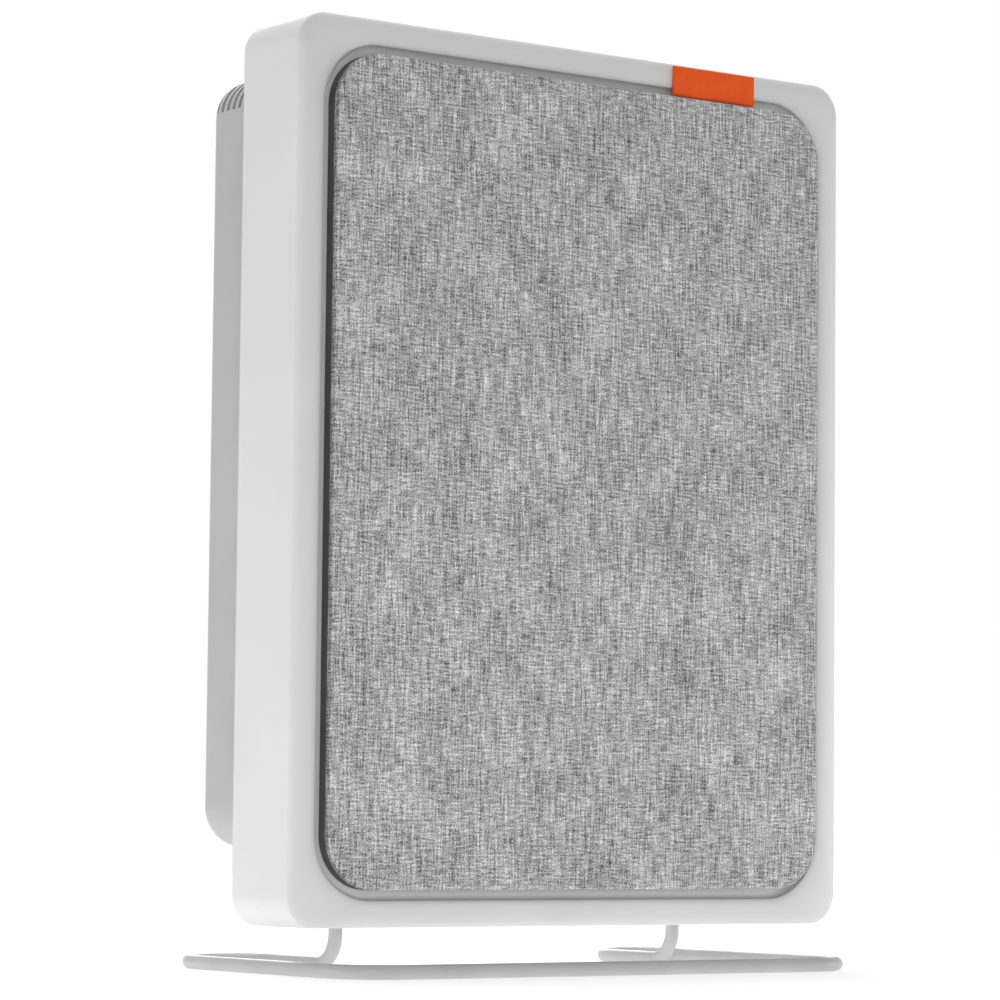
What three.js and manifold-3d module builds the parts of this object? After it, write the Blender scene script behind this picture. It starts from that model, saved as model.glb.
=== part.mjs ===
// Air purifier on a bent wire stand. Millimetres, +Z up, front facing -Y.
// The stand's footprint is centred on the origin and its wire rests on Z = 0.
import * as THREE from "three";
import { mergeVertices } from "three/addons/utils/BufferGeometryUtils.js";
import Module from "manifold-3d";

const wasm = await Module();
wasm.setup();

// ---- Driving dimensions -------------------------------------------------------------------

// Body frame: x = 0 on the centre plane, y = 0 at the rim's foremost line, z = 0 under the casing.
const CASING = { width: 339, height: 440, depth: 52, corner: 15.5, wall: 2.5 };
const RIM = { width: 13.2, side: 14.5, rollWidth: 8.5, rollDepth: 4, openingCorner: 31, ledgeY: 5 };
const BAY = { halfWidth: 136, halfHeight: 190, corner: 10, backY: 48.2 };
const PANEL = { halfWidth: 150.9, halfHeight: 201.8, corner: 26, frontY: -5.3, backY: 4.7 };
const CLOTH = { thick: 1, wrapY: -1 };
const LATTICE = { columns: 4, rows: 5, web: 9, margin: 9 };
const MAGNET = { radius: 5, thick: 3, sink: 0.1, boss: 6.4 };
const STRIKE = { radius: 5.8, thick: 0.8, sink: 0.2 };
const TAB = { x0: 56.2, x1: 109.3, thick: 1.3, lift: 0.3, bend: 1.2, topZ: 438.2, footY: 4.4 };
const PREFILTER = { halfWidth: 134, halfHeight: 188, frontY: 10.6, backY: 13.2, border: 9 };
const FILTER = { halfWidth: 134, halfHeight: 188, frontY: 13.5, backY: 44, wall: 3, lip: 10, pleats: 36 };
const CHASSIS = { frontY: 48.6, backY: 51.6 };
const HOUSING = { halfWidth: 158.6, low: 37.7, high: 419.9, frontY: 52, backY: 102, corner: 20, fillet: 10 };
const GRILLE = { firstY: 57.6, pitch: 5.3, count: 8, slot: 2.6, low: 402.5, rib: 4 };
const FAN = { z: 190, outer: 92, inner: 74, frontY: 57, backY: 91.4, blades: 28 };
const SCROLL = { start: 101, end: 138, tongue: 115, topZ: 402, wall: 2.5, backY: 94.7 };
const MOTOR = { shaft: 3, rotor: 33, rotorFrontY: 70, baseY: 94.4 };
const BUTTON = { x: 120, y: 30, radius: 8, topZ: 440.6 };
const WIRE = { radius: 3.5, frontY: -35, backY: 132, outerX: 154.3, innerX: 105.4, cornerRadius: 29 };
const UPRIGHT = { y: 57.5, topZ: 80, bend: 15 };

const MID_Z = CASING.height / 2;
const FLOOR_DROP = 23;
const FRONT_SHIFT = -(WIRE.frontY + WIRE.backY) / 2;
const GAP = 0.3;
const CORNER_STEPS = 5;
const QUARTER = Math.PI / 2;
const MERGE = 1e-4;

// ---- Solids ---------------------------------------------------------------------------------

// A closed geometry as a solid that can be joined and cut, with its shared corners merged.
function solidOf(geometry) {
  const bare = geometry.index ? geometry.toNonIndexed() : geometry.clone();
  bare.deleteAttribute("normal");
  bare.deleteAttribute("uv");
  const merged = mergeVertices(bare, MERGE);
  const mesh = new wasm.Mesh({
    numProp: 3,
    vertProperties: merged.attributes.position.array,
    triVerts: new Uint32Array(merged.index.array),
  });
  return new wasm.Manifold(mesh);
}

function join(geometries) {
  return geometries.map(solidOf).reduce((sum, next) => sum.add(next));
}

function cut(base, geometries) {
  return geometries.length ? base.subtract(join(geometries)) : base;
}

function geometryOf(solid) {
  const mesh = solid.getMesh();
  const geometry = new THREE.BufferGeometry();
  geometry.setAttribute("position", new THREE.BufferAttribute(mesh.vertProperties, 3));
  geometry.setIndex(new THREE.BufferAttribute(mesh.triVerts, 1));
  return geometry;
}

// ---- Shape helpers --------------------------------------------------------------------------

// Corner points of a rounded rectangle that stands in the XZ plane at depth y.
function ring(halfWidth, halfHeight, radius, y, midZ = MID_Z) {
  const points = [];
  for (let corner = 0; corner < 4; corner += 1) {
    const signX = corner === 0 || corner === 3 ? 1 : -1;
    const signZ = corner < 2 ? 1 : -1;
    for (let step = 0; step <= CORNER_STEPS; step += 1) {
      const angle = (corner + step / CORNER_STEPS) * QUARTER;
      const x = signX * (halfWidth - radius) + radius * Math.cos(angle);
      const z = midZ + signZ * (halfHeight - radius) + radius * Math.sin(angle);
      points.push(new THREE.Vector3(x, y, z));
    }
  }
  return points;
}

// A skin over rings of equal length, capped at both ends or joined last to first, facing out.
function loft(rings, looped = false) {
  const count = rings[0].length;
  const index = [];
  const spans = looped ? rings.length : rings.length - 1;
  for (let i = 0; i < spans; i += 1) {
    const a = i * count;
    const b = ((i + 1) % rings.length) * count;
    for (let j = 0; j < count; j += 1) {
      const k = (j + 1) % count;
      index.push(a + j, b + j, b + k, a + j, b + k, a + k);
    }
  }
  if (!looped) {
    const last = (rings.length - 1) * count;
    for (let j = 1; j < count - 1; j += 1) {
      index.push(0, j, j + 1, last, last + j + 1, last + j);
    }
  }
  const points = rings.flat();
  if (signedVolume(points, index) < 0) {
    index.reverse();
  }
  const geometry = new THREE.BufferGeometry().setFromPoints(points);
  geometry.setIndex(index);
  return geometry;
}

// Six times the volume inside an indexed skin, negative where the faces point in.
function signedVolume(points, index) {
  let sum = 0;
  for (let i = 0; i < index.length; i += 3) {
    const [a, b, c] = [points[index[i]], points[index[i + 1]], points[index[i + 2]]];
    sum += a.dot(new THREE.Vector3().crossVectors(b, c));
  }
  return sum;
}

function roundedOutline(halfWidth, halfHeight, radius, x = 0, z = 0) {
  const shape = new THREE.Shape();
  const w = halfWidth - radius;
  const h = halfHeight - radius;
  shape.absarc(x + w, z + h, radius, 0, QUARTER);
  shape.absarc(x - w, z + h, radius, QUARTER, 2 * QUARTER);
  shape.absarc(x - w, z - h, radius, 2 * QUARTER, 3 * QUARTER);
  shape.absarc(x + w, z - h, radius, 3 * QUARTER, 4 * QUARTER);
  return shape;
}

// An outline drawn in X and Z, filled from depth y0 back to y1.
function slab(shape, y0, y1, curveSegments = 3) {
  const settings = { depth: y1 - y0, bevelEnabled: false, curveSegments };
  const geometry = new THREE.ExtrudeGeometry(shape, settings);
  geometry.rotateX(QUARTER);
  geometry.translate(0, y1, 0);
  return geometry;
}

// An outline drawn in Y and Z, carried from x0 to x1.
function bar(shape, x0, x1) {
  const settings = { depth: x1 - x0, bevelEnabled: false };
  const geometry = new THREE.ExtrudeGeometry(shape, settings);
  const yAxis = new THREE.Vector3(0, 1, 0);
  const zAxis = new THREE.Vector3(0, 0, 1);
  const xAxis = new THREE.Vector3(1, 0, 0);
  geometry.applyMatrix4(new THREE.Matrix4().makeBasis(yAxis, zAxis, xAxis));
  geometry.translate(x0, 0, 0);
  return geometry;
}

function block(x0, x1, y0, y1, z0, z1) {
  const geometry = new THREE.BoxGeometry(x1 - x0, y1 - y0, z1 - z0);
  geometry.translate((x0 + x1) / 2, (y0 + y1) / 2, (z0 + z1) / 2);
  return geometry;
}

// A round rod along Y.
function rodY(x, z, radius, y0, y1, sides = 12) {
  const geometry = new THREE.CylinderGeometry(radius, radius, y1 - y0, sides);
  geometry.translate(x, (y0 + y1) / 2, z);
  return geometry;
}

// A round rod along Z.
function rodZ(x, y, radius, z0, z1, sides = 16) {
  const geometry = new THREE.CylinderGeometry(radius, radius, z1 - z0, sides);
  geometry.rotateX(QUARTER);
  geometry.translate(x, y, (z0 + z1) / 2);
  return geometry;
}

// A profile of [radius, depth] pairs turned about the fan's axis; it closes on itself, either way round.
function turned(profile, sides) {
  const points = profile.map(([radius, y]) => new THREE.Vector2(radius, y));
  if (THREE.ShapeUtils.area(points) < 0) {
    points.reverse();
  }
  points.push(points[0].clone());
  const geometry = new THREE.LatheGeometry(points, sides);
  geometry.translate(0, 0, FAN.z);
  return geometry;
}

function polygon(pairs) {
  return new THREE.Shape(pairs.map(([u, v]) => new THREE.Vector2(u, v)));
}

function mirroredPairs(x, z) {
  return [
    [-x, z],
    [x, z],
  ];
}

// ---- Front casing ---------------------------------------------------------------------------

function casingRing(inset, y, radius) {
  return ring(CASING.width / 2 - inset, CASING.height / 2 - inset, radius, y);
}

// Corner radius on the rim, growing from the casing's to the recess opening's.
function rimCorner(inset) {
  return CASING.corner + ((RIM.openingCorner - CASING.corner) * inset) / RIM.width;
}

// A ring on the rim, which is a little wider at the sides than at the top and bottom.
function rimRing(inset, y, radius = rimCorner(inset)) {
  const side = (inset * RIM.side) / RIM.width;
  return ring(CASING.width / 2 - side, CASING.height / 2 - inset, radius, y);
}

// The rim's soft outer roll: a quarter ellipse from the side wall to the foremost line.
function rollPoint(angle) {
  return {
    inset: RIM.rollWidth * (1 - Math.cos(angle)),
    y: RIM.rollDepth * (1 - Math.sin(angle)),
  };
}

function rimRoll(steps = 4) {
  const rings = [];
  for (let step = 0; step <= steps; step += 1) {
    const { inset, y } = rollPoint((step / steps) * QUARTER);
    rings.push(rimRing(inset, y));
  }
  return rings;
}

// Shell of the casing: outer wall, rolled rim, recess wall, ledge and filter bay.
function casingShell() {
  const wall = CASING.wall;
  const back = CASING.depth;
  const behindLedge = RIM.ledgeY + wall;
  const recessBack = RIM.width - wall;
  const bay = (grow, y) => ring(BAY.halfWidth + grow, BAY.halfHeight + grow, BAY.corner + grow, y);
  return loft(
    [
      casingRing(0, back, CASING.corner),
      ...rimRoll(),
      rimRing(RIM.width - 0.7, 0.3),
      rimRing(RIM.width, 1.3),
      rimRing(RIM.width, RIM.ledgeY),
      bay(0, RIM.ledgeY),
      bay(0, BAY.backY),
      bay(wall, BAY.backY),
      bay(wall, behindLedge),
      rimRing(recessBack, behindLedge, RIM.openingCorner + wall),
      rimRing(recessBack, 3, RIM.openingCorner + wall),
      rimRing(6, 3.4),
      casingRing(wall, 6.4, CASING.corner - wall),
      casingRing(wall, back, CASING.corner - wall),
    ],
    true,
  );
}

const CASING_SCREWS = [...mirroredPairs(148, 424), ...mirroredPairs(148, 16)];
const MAGNETS = [...mirroredPairs(142.5, 370), ...mirroredPairs(142.5, 70)];

// Stiffening ribs that tie the filter bay to the outer wall.
function casingRibs() {
  const ribs = [];
  const half = 1;
  const sink = 1;
  const [front, back] = [RIM.ledgeY + sink, BAY.backY - 2.2];
  const bayX = BAY.halfWidth + sink;
  const wallX = CASING.width / 2 - CASING.wall + sink;
  const bayZ = BAY.halfHeight + sink;
  const wallZ = CASING.height / 2 - CASING.wall + sink;
  for (const x of [-100, -50, 0, 45]) {
    ribs.push(block(x - half, x + half, front, back, MID_Z + bayZ, MID_Z + wallZ));
  }
  for (const x of [-110, -40, 40, 110]) {
    ribs.push(block(x - half, x + half, front, back, MID_Z - wallZ, MID_Z - bayZ));
  }
  for (const z of [MID_Z - 110, MID_Z, MID_Z + 110]) {
    ribs.push(block(-wallX, -bayX, front, back, z - half, z + half));
    ribs.push(block(bayX, wallX, front, back, z - half, z + half));
  }
  return ribs;
}

function frontCasing() {
  const bosses = CASING_SCREWS.map(([x, z]) => rodY(x, z, 4.5, 4, BAY.backY));
  const posts = [78, 132].map((x) => rodZ(x, 24, 3, 411.5, 424.6, 8));
  const screwHoles = CASING_SCREWS.map(([x, z]) => rodY(x, z, 1.5, 34, 60, 8));
  const pocketBack = RIM.ledgeY + STRIKE.sink + STRIKE.thick + GAP;
  const pockets = MAGNETS.map(([x, z]) => rodY(x, z, STRIKE.radius + GAP, RIM.ledgeY - 1, pocketBack));
  const buttonHole = rodZ(BUTTON.x, BUTTON.y, 9.7, 434, 444, 20);
  const lensHoles = LENSES.map((x) => rodZ(x, BUTTON.y, 1.6, 434, 444, 8));
  const whole = join([casingShell(), ...bosses, ...posts, ...casingRibs()]);
  return cut(whole, [...screwHoles, ...pockets, buttonHole, ...lensHoles]);
}

// ---- Front panel ----------------------------------------------------------------------------

function panelRing(inset, y) {
  const corner = PANEL.corner - inset;
  return ring(PANEL.halfWidth - inset, PANEL.halfHeight - inset, corner, y);
}

// Cloth stretched over the panel's front and turned a little way down its sides.
function panelFabric() {
  const { thick, wrapY } = CLOTH;
  return loft([
    panelRing(thick, PANEL.frontY + thick),
    panelRing(thick, wrapY),
    panelRing(0, wrapY),
    panelRing(0, PANEL.frontY + 1.6),
    panelRing(0.5, PANEL.frontY + 0.5),
    panelRing(1.6, PANEL.frontY),
  ]);
}

// The openings between the bars of the tray's lattice.
function latticeWindows(y0, y1) {
  const { columns, rows, web, margin } = LATTICE;
  const pitchX = (2 * (PANEL.halfWidth - margin)) / columns;
  const pitchZ = (2 * (PANEL.halfHeight - margin)) / rows;
  const [w, h] = [(pitchX - web) / 2, (pitchZ - web) / 2];
  const windows = [];
  for (let i = 0; i < columns; i += 1) {
    for (let j = 0; j < rows; j += 1) {
      const x = (i - (columns - 1) / 2) * pitchX;
      const z = MID_Z + (j - (rows - 1) / 2) * pitchZ;
      windows.push(block(x - w, x + w, y0, y1, z - h, z + h));
    }
  }
  return windows;
}

// Open lattice tray that carries the cloth, the magnets and the pull tab.
function panelFrame() {
  const edge = CLOTH.thick + GAP;
  const front = PANEL.frontY + edge;
  const plateBack = front + 3;
  const shoulder = CLOTH.wrapY + GAP;
  const tray = loft([
    panelRing(edge + 2.2, plateBack),
    panelRing(edge + 2.2, PANEL.backY),
    panelRing(0, PANEL.backY),
    panelRing(0, shoulder),
    panelRing(edge, shoulder),
    panelRing(edge, front),
  ]);
  const bosses = MAGNETS.map(([x, z]) => rodY(x, z, MAGNET.boss, plateBack - 1, PANEL.backY));
  const sockets = MAGNETS.map(([x, z]) => {
    const depth = MAGNET.thick + 2 * MAGNET.sink;
    return rodY(x, z, MAGNET.radius + GAP, PANEL.backY - depth - MAGNET.sink, PANEL.backY + 1);
  });
  return cut(join([tray, ...bosses]), [...latticeWindows(front - 1, plateBack + 1), ...sockets]);
}

// Strap fixed to the panel's top wall: it comes forwards out of the gap, then stands in front of the rim.
function pullTab() {
  const { thick, lift, bend, topZ, footY } = TAB;
  const foot = MID_Z + PANEL.halfHeight + GAP;
  const near = -lift;
  const far = near - thick;
  const soft = thick / 3;
  const arc = (radius) =>
    [0, 1, 2].map((step) => {
      const angle = (step / 2) * QUARTER;
      return [near + bend - radius * Math.sin(angle), foot + thick + bend - radius * Math.cos(angle)];
    });
  const outline = polygon([
    [footY, foot],
    [footY, foot + thick],
    ...arc(bend),
    [near, topZ - soft],
    [near - soft, topZ],
    [far + soft, topZ],
    [far, topZ - soft],
    ...arc(bend + thick).reverse(),
  ]);
  return bar(outline, TAB.x0, TAB.x1);
}

// ---- Filters --------------------------------------------------------------------------------

function frameRing(size, inset, y) {
  return ring(size.halfWidth - inset, size.halfHeight - inset, Math.max(7 - inset, 1), y);
}

// Washable net frame: a stepped border with a light cross lattice and a finger notch.
function prefilterFrame() {
  const { frontY, backY, border } = PREFILTER;
  const stepY = backY - 1.2;
  const edge = loft(
    [
      frameRing(PREFILTER, 0, frontY),
      frameRing(PREFILTER, 0, backY),
      frameRing(PREFILTER, border, backY),
      frameRing(PREFILTER, border, stepY),
      frameRing(PREFILTER, border - 3, stepY),
      frameRing(PREFILTER, border - 3, frontY),
    ],
    true,
  );
  const bars = [];
  const reachX = PREFILTER.halfWidth - border + 1;
  const reachZ = PREFILTER.halfHeight - border + 1;
  for (const x of [-65, 0, 65]) {
    bars.push(block(x - 1.2, x + 1.2, stepY, backY, MID_Z - reachZ, MID_Z + reachZ));
  }
  for (const z of [-108, -36, 36, 108]) {
    bars.push(block(-reachX, reachX, stepY, backY, MID_Z + z - 1.2, MID_Z + z + 1.2));
  }
  const top = MID_Z + PREFILTER.halfHeight;
  const notch = block(-17, 17, frontY - 1, stepY - GAP, top - 5, top + 2);
  const through = block(-17, 17, frontY - 1, backY + 1, top - 3.5, top + 2);
  return cut(join([edge, ...bars]), [notch, through]);
}

function prefilterNet() {
  const inset = PREFILTER.border - 3 + GAP;
  const sheet = (y) => frameRing(PREFILTER, inset, y);
  return loft([sheet(PREFILTER.frontY + 0.5), sheet(PREFILTER.frontY + 1.1)]);
}

// Cartridge frame: a channel that holds the pleated pack by two lips.
function filterFrame() {
  const { frontY, backY, wall, lip } = FILTER;
  const sheet = 1.6;
  return loft(
    [
      frameRing(FILTER, 0, frontY),
      frameRing(FILTER, 0, backY),
      frameRing(FILTER, lip, backY),
      frameRing(FILTER, lip, backY - sheet),
      frameRing(FILTER, wall, backY - sheet),
      frameRing(FILTER, wall, frontY + sheet),
      frameRing(FILTER, lip, frontY + sheet),
      frameRing(FILTER, lip, frontY),
    ],
    true,
  );
}

// Filter paper folded into deep vertical pleats: one zigzag sheet, measured through along Y.
function filterMedia() {
  const play = 1.4;
  const half = FILTER.halfWidth - FILTER.wall - play;
  const sheet = 5;
  const front = FILTER.frontY + 2.2;
  const back = FILTER.backY - 2.2 - sheet;
  const reach = FILTER.halfHeight - FILTER.wall - play;
  const folds = FILTER.pleats * 2;
  const rings = [];
  for (let fold = 0; fold <= folds; fold += 1) {
    const x = -half + (2 * half * fold) / folds;
    const y = fold % 2 === 0 ? front : back;
    const corners = [
      [y, -reach],
      [y + sheet, -reach],
      [y + sheet, reach],
      [y, reach],
    ];
    rings.push(corners.map(([v, w]) => new THREE.Vector3(x, v, MID_Z + w)));
  }
  return loft(rings);
}

// Foam ring on the cartridge's back that seals it to the chassis.
function filterSeal() {
  const y0 = FILTER.backY + GAP;
  const y1 = CHASSIS.frontY - GAP;
  const at = (inset, y) => frameRing(FILTER, inset, y);
  return loft([at(1, y0), at(1, y1), at(FILTER.lip - 1, y1), at(FILTER.lip - 1, y0)], true);
}

// Ribbon along the top of the cartridge, turned down at the front for two fingers.
function filterRibbon() {
  const low = MID_Z + FILTER.halfHeight + GAP;
  const high = low + 1;
  const front = PREFILTER.frontY + 0.4;
  const outline = polygon([
    [FILTER.backY - 4, low],
    [FILTER.backY - 4, high],
    [front, high],
    [front, low - 3],
    [front + 1, low - 3],
    [front + 1, low],
  ]);
  return bar(outline, -13, 13);
}

// ---- Chassis and air path ---------------------------------------------------------------------

const REAR_SCREWS = [...mirroredPairs(149, 392), ...mirroredPairs(149, 56)];
const INLET_RADIUS = 80;

// Mid plate that closes the casing and carries the fan's inlet.
function chassisPlate() {
  const inset = CASING.wall + GAP;
  const outline = roundedOutline(
    CASING.width / 2 - inset,
    CASING.height / 2 - inset,
    CASING.corner - inset,
    0,
    MID_Z,
  );
  const plate = slab(outline, CHASSIS.frontY, CHASSIS.backY, 6);
  const bosses = REAR_SCREWS.map(([x, z]) => rodY(x, z, 4.5, CHASSIS.backY - 1, 60));
  const inlet = rodY(0, FAN.z, INLET_RADIUS, 40, 60, 24);
  const pilotHoles = REAR_SCREWS.map(([x, z]) => rodY(x, z, 1.9, 46, 62, 8));
  const screwHoles = CASING_SCREWS.map(([x, z]) => rodY(x, z, 2.1, 46, 60, 8));
  return cut(join([plate, ...bosses]), [inlet, ...pilotHoles, ...screwHoles]);
}

// Curved inlet ring that leads the air into the impeller's eye.
function bellMouth() {
  const centre = { radius: INLET_RADIUS, y: 58.5 };
  const sweep = (radius) => {
    const points = [];
    for (let step = 0; step <= 3; step += 1) {
      const angle = (step / 3) * QUARTER;
      points.push([centre.radius - GAP - radius * Math.sin(angle), centre.y - radius * Math.cos(angle)]);
    }
    return points;
  };
  return turned([...sweep(9.5), ...sweep(8).reverse()], 24);
}

// Finger guard of rings on six spokes, seated on the chassis in front of the fan.
function inletGuard() {
  const y0 = 45.8;
  const y1 = CHASSIS.frontY - GAP;
  const hoop = (radius, wide) =>
    turned(
      [
        [radius - wide, y0],
        [radius, y0],
        [radius, y1],
        [radius - wide, y1],
      ],
      18,
    );
  const spokes = [];
  for (let spoke = 0; spoke < 6; spoke += 1) {
    const rod = block(10, 81, y0 + 0.3, y1 - 0.3, -1.2, 1.2);
    rod.rotateY((spoke * Math.PI) / 3);
    rod.translate(0, 0, FAN.z);
    spokes.push(rod);
  }
  return join([hoop(14, 5), hoop(48, 2), hoop(84, 5), ...spokes]);
}

function scrollRadius(degrees) {
  const share = (degrees - SCROLL.tongue) / (360 - SCROLL.tongue);
  return SCROLL.start + (SCROLL.end - SCROLL.start) * share;
}

function polar(radius, degrees) {
  const angle = THREE.MathUtils.degToRad(degrees);
  return [radius * Math.cos(angle), FAN.z + radius * Math.sin(angle)];
}

// The volute's flow space grown by an offset: a spiral that opens into a straight duct.
function volute(grow, y0, y1, topZ) {
  const points = [];
  for (let degrees = SCROLL.tongue; degrees <= 360; degrees += 12.25) {
    points.push(polar(scrollRadius(degrees) + grow, degrees));
  }
  for (let degrees = 375; degrees < 360 + SCROLL.tongue; degrees += 20) {
    points.push(polar(SCROLL.start, degrees));
  }
  const [tongueX, tongueZ] = polar(SCROLL.start + 4, SCROLL.tongue);
  const duct = polygon([
    [SCROLL.end + grow, FAN.z],
    [SCROLL.end + grow, topZ],
    [-SCROLL.end - grow, topZ],
    [-SCROLL.end - grow, SCROLL.topZ - 14],
    [tongueX - grow, tongueZ - grow],
  ]);
  return join([slab(polygon(points), y0, y1), slab(duct, y0, y1)]);
}

// Fan housing: a spiral pan, open to the chassis in front and to the grille above.
function scrollHousing() {
  const front = HOUSING.frontY + GAP;
  const back = SCROLL.backY + SCROLL.wall;
  const outside = volute(SCROLL.wall, front, back, SCROLL.topZ);
  const inside = volute(0, front - 1, SCROLL.backY, SCROLL.topZ + 10);
  return cut(outside.subtract(inside), [rodY(0, FAN.z, 8.3, 90, 100, 16)]);
}

// ---- Impeller and motor -----------------------------------------------------------------------

// One forward-curved blade: a thin arc in section, carried along the fan's axis.
function blade(turn) {
  const near = [];
  const far = [];
  const half = 0.75;
  for (let step = 0; step <= 3; step += 1) {
    const share = step / 3;
    const radius = FAN.inner + 1 + (FAN.outer - FAN.inner - 2) * share;
    const angle = turn + 0.16 * share * share;
    near.push([(radius + half) * Math.cos(angle), (radius + half) * Math.sin(angle)]);
    const offset = (2 * half) / radius;
    far.push([(radius - half) * Math.cos(angle + offset), (radius - half) * Math.sin(angle + offset)]);
  }
  const outline = polygon([...near, ...far.reverse()]);
  const geometry = slab(outline, FAN.frontY + 1, FAN.backY - 1);
  geometry.translate(0, 0, FAN.z);
  return geometry;
}

// Impeller: blades between a front ring and a back disc that domes over the motor.
function impeller() {
  const bore = MOTOR.shaft + GAP;
  const back = FAN.backY;
  const disc = turned(
    [
      [bore, 65],
      [30, 66],
      [37, 72],
      [40, back - 2.2],
      [FAN.outer, back - 2.2],
      [FAN.outer, back],
      [38, back],
      [35, 73],
      [29.5, 68.2],
      [bore, 68.2],
    ],
    FAN.blades,
  );
  const hoop = turned(
    [
      [FAN.inner, FAN.frontY],
      [FAN.outer, FAN.frontY],
      [FAN.outer, FAN.frontY + 2.2],
      [FAN.inner, FAN.frontY + 2.2],
    ],
    FAN.blades,
  );
  const blades = [];
  for (let i = 0; i < FAN.blades; i += 1) {
    blades.push(blade((i * 2 * Math.PI) / FAN.blades));
  }
  return join([disc, hoop, ...blades]);
}

// Outer rotor of the motor, a steel cup over the stator.
function rotorCup() {
  const front = MOTOR.rotorFrontY;
  const bore = MOTOR.shaft + GAP;
  return turned(
    [
      [bore, front],
      [MOTOR.rotor - 2, front],
      [MOTOR.rotor, front + 2],
      [MOTOR.rotor, 87.5],
      [MOTOR.rotor - 2, 87.5],
      [MOTOR.rotor - 2, front + 2],
      [bore, front + 2],
    ],
    20,
  );
}

// Stator core with nine wound teeth.
function stator() {
  const teeth = 9;
  const pairs = [];
  for (let tooth = 0; tooth < teeth; tooth += 1) {
    const middle = (tooth * 360) / teeth;
    for (const [radius, offset] of [[15, -14], [26.5, -10], [29.5, -15], [29.5, 15], [26.5, 10], [15, 14]]) {
      const angle = THREE.MathUtils.degToRad(middle + offset);
      pairs.push([radius * Math.cos(angle), radius * Math.sin(angle)]);
    }
  }
  const outline = polygon(pairs);
  outline.holes.push(new THREE.Path().absarc(0, 0, 11.3, 0, 4 * QUARTER, true));
  const geometry = slab(outline, 74, 86, 8);
  geometry.translate(0, 0, FAN.z);
  return geometry;
}

// Motor flange with the tube that holds the stator and the two bearings.
function motorBase() {
  return turned(
    [
      [8.3, 73],
      [11, 73],
      [11, 89],
      [14, 90],
      [30, 91],
      [30, MOTOR.baseY],
      [8.3, MOTOR.baseY],
    ],
    18,
  );
}

function bearing(y0) {
  const bore = MOTOR.shaft + GAP;
  return turned([[bore, y0], [8, y0], [8, y0 + 5], [bore, y0 + 5]], 16);
}

function shaftNut() {
  const bore = (MOTOR.shaft + GAP) / Math.cos(Math.PI / 6);
  return turned([[bore, 61], [6, 61], [6, 64.4], [bore, 64.4]], 6);
}

// ---- Rear housing -----------------------------------------------------------------------------

const HOUSING_MID = (HOUSING.low + HOUSING.high) / 2;
const SOCKETS = [-WIRE.innerX, WIRE.innerX];

function housingRing(inset, y) {
  const halfHeight = (HOUSING.high - HOUSING.low) / 2;
  const corner = HOUSING.corner - Math.min(inset, HOUSING.corner - 4);
  return ring(HOUSING.halfWidth - inset, halfHeight - inset, corner, y, HOUSING_MID);
}

// Rings round the filleted back edge, from the side wall to the flat back.
function housingFillet(inset, radius, backY) {
  const rings = [];
  const steps = 3;
  for (let step = 0; step <= steps; step += 1) {
    const angle = (step / steps) * QUARTER;
    const grow = inset + radius * (1 - Math.cos(angle));
    rings.push(housingRing(grow, backY - radius * (1 - Math.sin(angle))));
  }
  return rings;
}

// Long outlet slots across the top, running a little way down both shoulders.
function grilleSlots() {
  const slots = [];
  const reach = HOUSING.halfWidth + 5;
  const inner = 52;
  const spans = [
    [-reach, -inner - GRILLE.rib],
    [-inner, inner],
    [inner + GRILLE.rib, reach],
  ];
  for (let row = 0; row < GRILLE.count; row += 1) {
    const y = GRILLE.firstY + row * GRILLE.pitch;
    for (const [x0, x1] of spans) {
      slots.push(block(x0, x1, y - GRILLE.slot / 2, y + GRILLE.slot / 2, GRILLE.low, HOUSING.high + 5));
    }
  }
  return slots;
}

function sensorSlots() {
  const slots = [];
  for (let row = 0; row < 5; row += 1) {
    const z = 78 + row * 6;
    slots.push(block(HOUSING.halfWidth - 4, HOUSING.halfWidth + 4, 66, 84, z, z + 2));
  }
  return slots;
}

// Rear shell with the outlet grille, screw towers, stand holes and power inlet hole.
function rearHousing() {
  const wall = CASING.wall;
  const front = HOUSING.frontY;
  const back = HOUSING.backY;
  const shell = loft([
    ...housingFillet(wall, HOUSING.fillet - wall, back - wall).reverse(),
    housingRing(wall, front),
    housingRing(0, front),
    ...housingFillet(0, HOUSING.fillet, back),
  ]);
  const towers = REAR_SCREWS.map(([x, z]) => rodY(x, z, 5, 60 + GAP, back - 1));
  const bores = REAR_SCREWS.map(([x, z]) => rodY(x, z, 2.1, 50, back + 1, 8));
  const counterbores = REAR_SCREWS.map(([x, z]) => rodY(x, z, 3.9, back - 3.4, back + 1));
  const standHoles = SOCKETS.map((x) => rodZ(x, UPRIGHT.y, 5.1, HOUSING.low - 2, HOUSING.low + 4, 16));
  const inletHole = rodY(INLET.x, INLET.z, 6.3, back - 5, back + 1, 16);
  const holes = [...bores, ...counterbores, ...standHoles, inletHole, ...sensorSlots()];
  return cut(join([shell, ...towers]), [...holes, ...grilleSlots()]);
}

// ---- Electrics --------------------------------------------------------------------------------

const LENSES = [82, 90, 98];
const INLET = { x: 82, z: 56 };

function controlBoard() {
  const board = block(74, 136, 16, 44, 425, 426.6);
  const lamps = LENSES.map((x) => block(x - 1, x + 1, BUTTON.y - 1, BUTTON.y + 1, 426, 428.2));
  const plug = block(110, 124, 38, 43, 426, 431);
  return join([board, ...lamps, plug]);
}

function tactSwitch() {
  const body = block(BUTTON.x - 3, BUTTON.x + 3, BUTTON.y - 3, BUTTON.y + 3, 426.9, 430.4);
  return join([body, rodZ(BUTTON.x, BUTTON.y, 1.7, 430, 432, 8)]);
}

// Clear pipe that carries three lamps up to the casing's top.
function lightPipe() {
  const rail = block(79, 101, BUTTON.y - 2.5, BUTTON.y + 2.5, 428.5, 431.5);
  return join([rail, ...LENSES.map((x) => rodZ(x, BUTTON.y, 1.3, 431, 440, 8))]);
}

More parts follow.
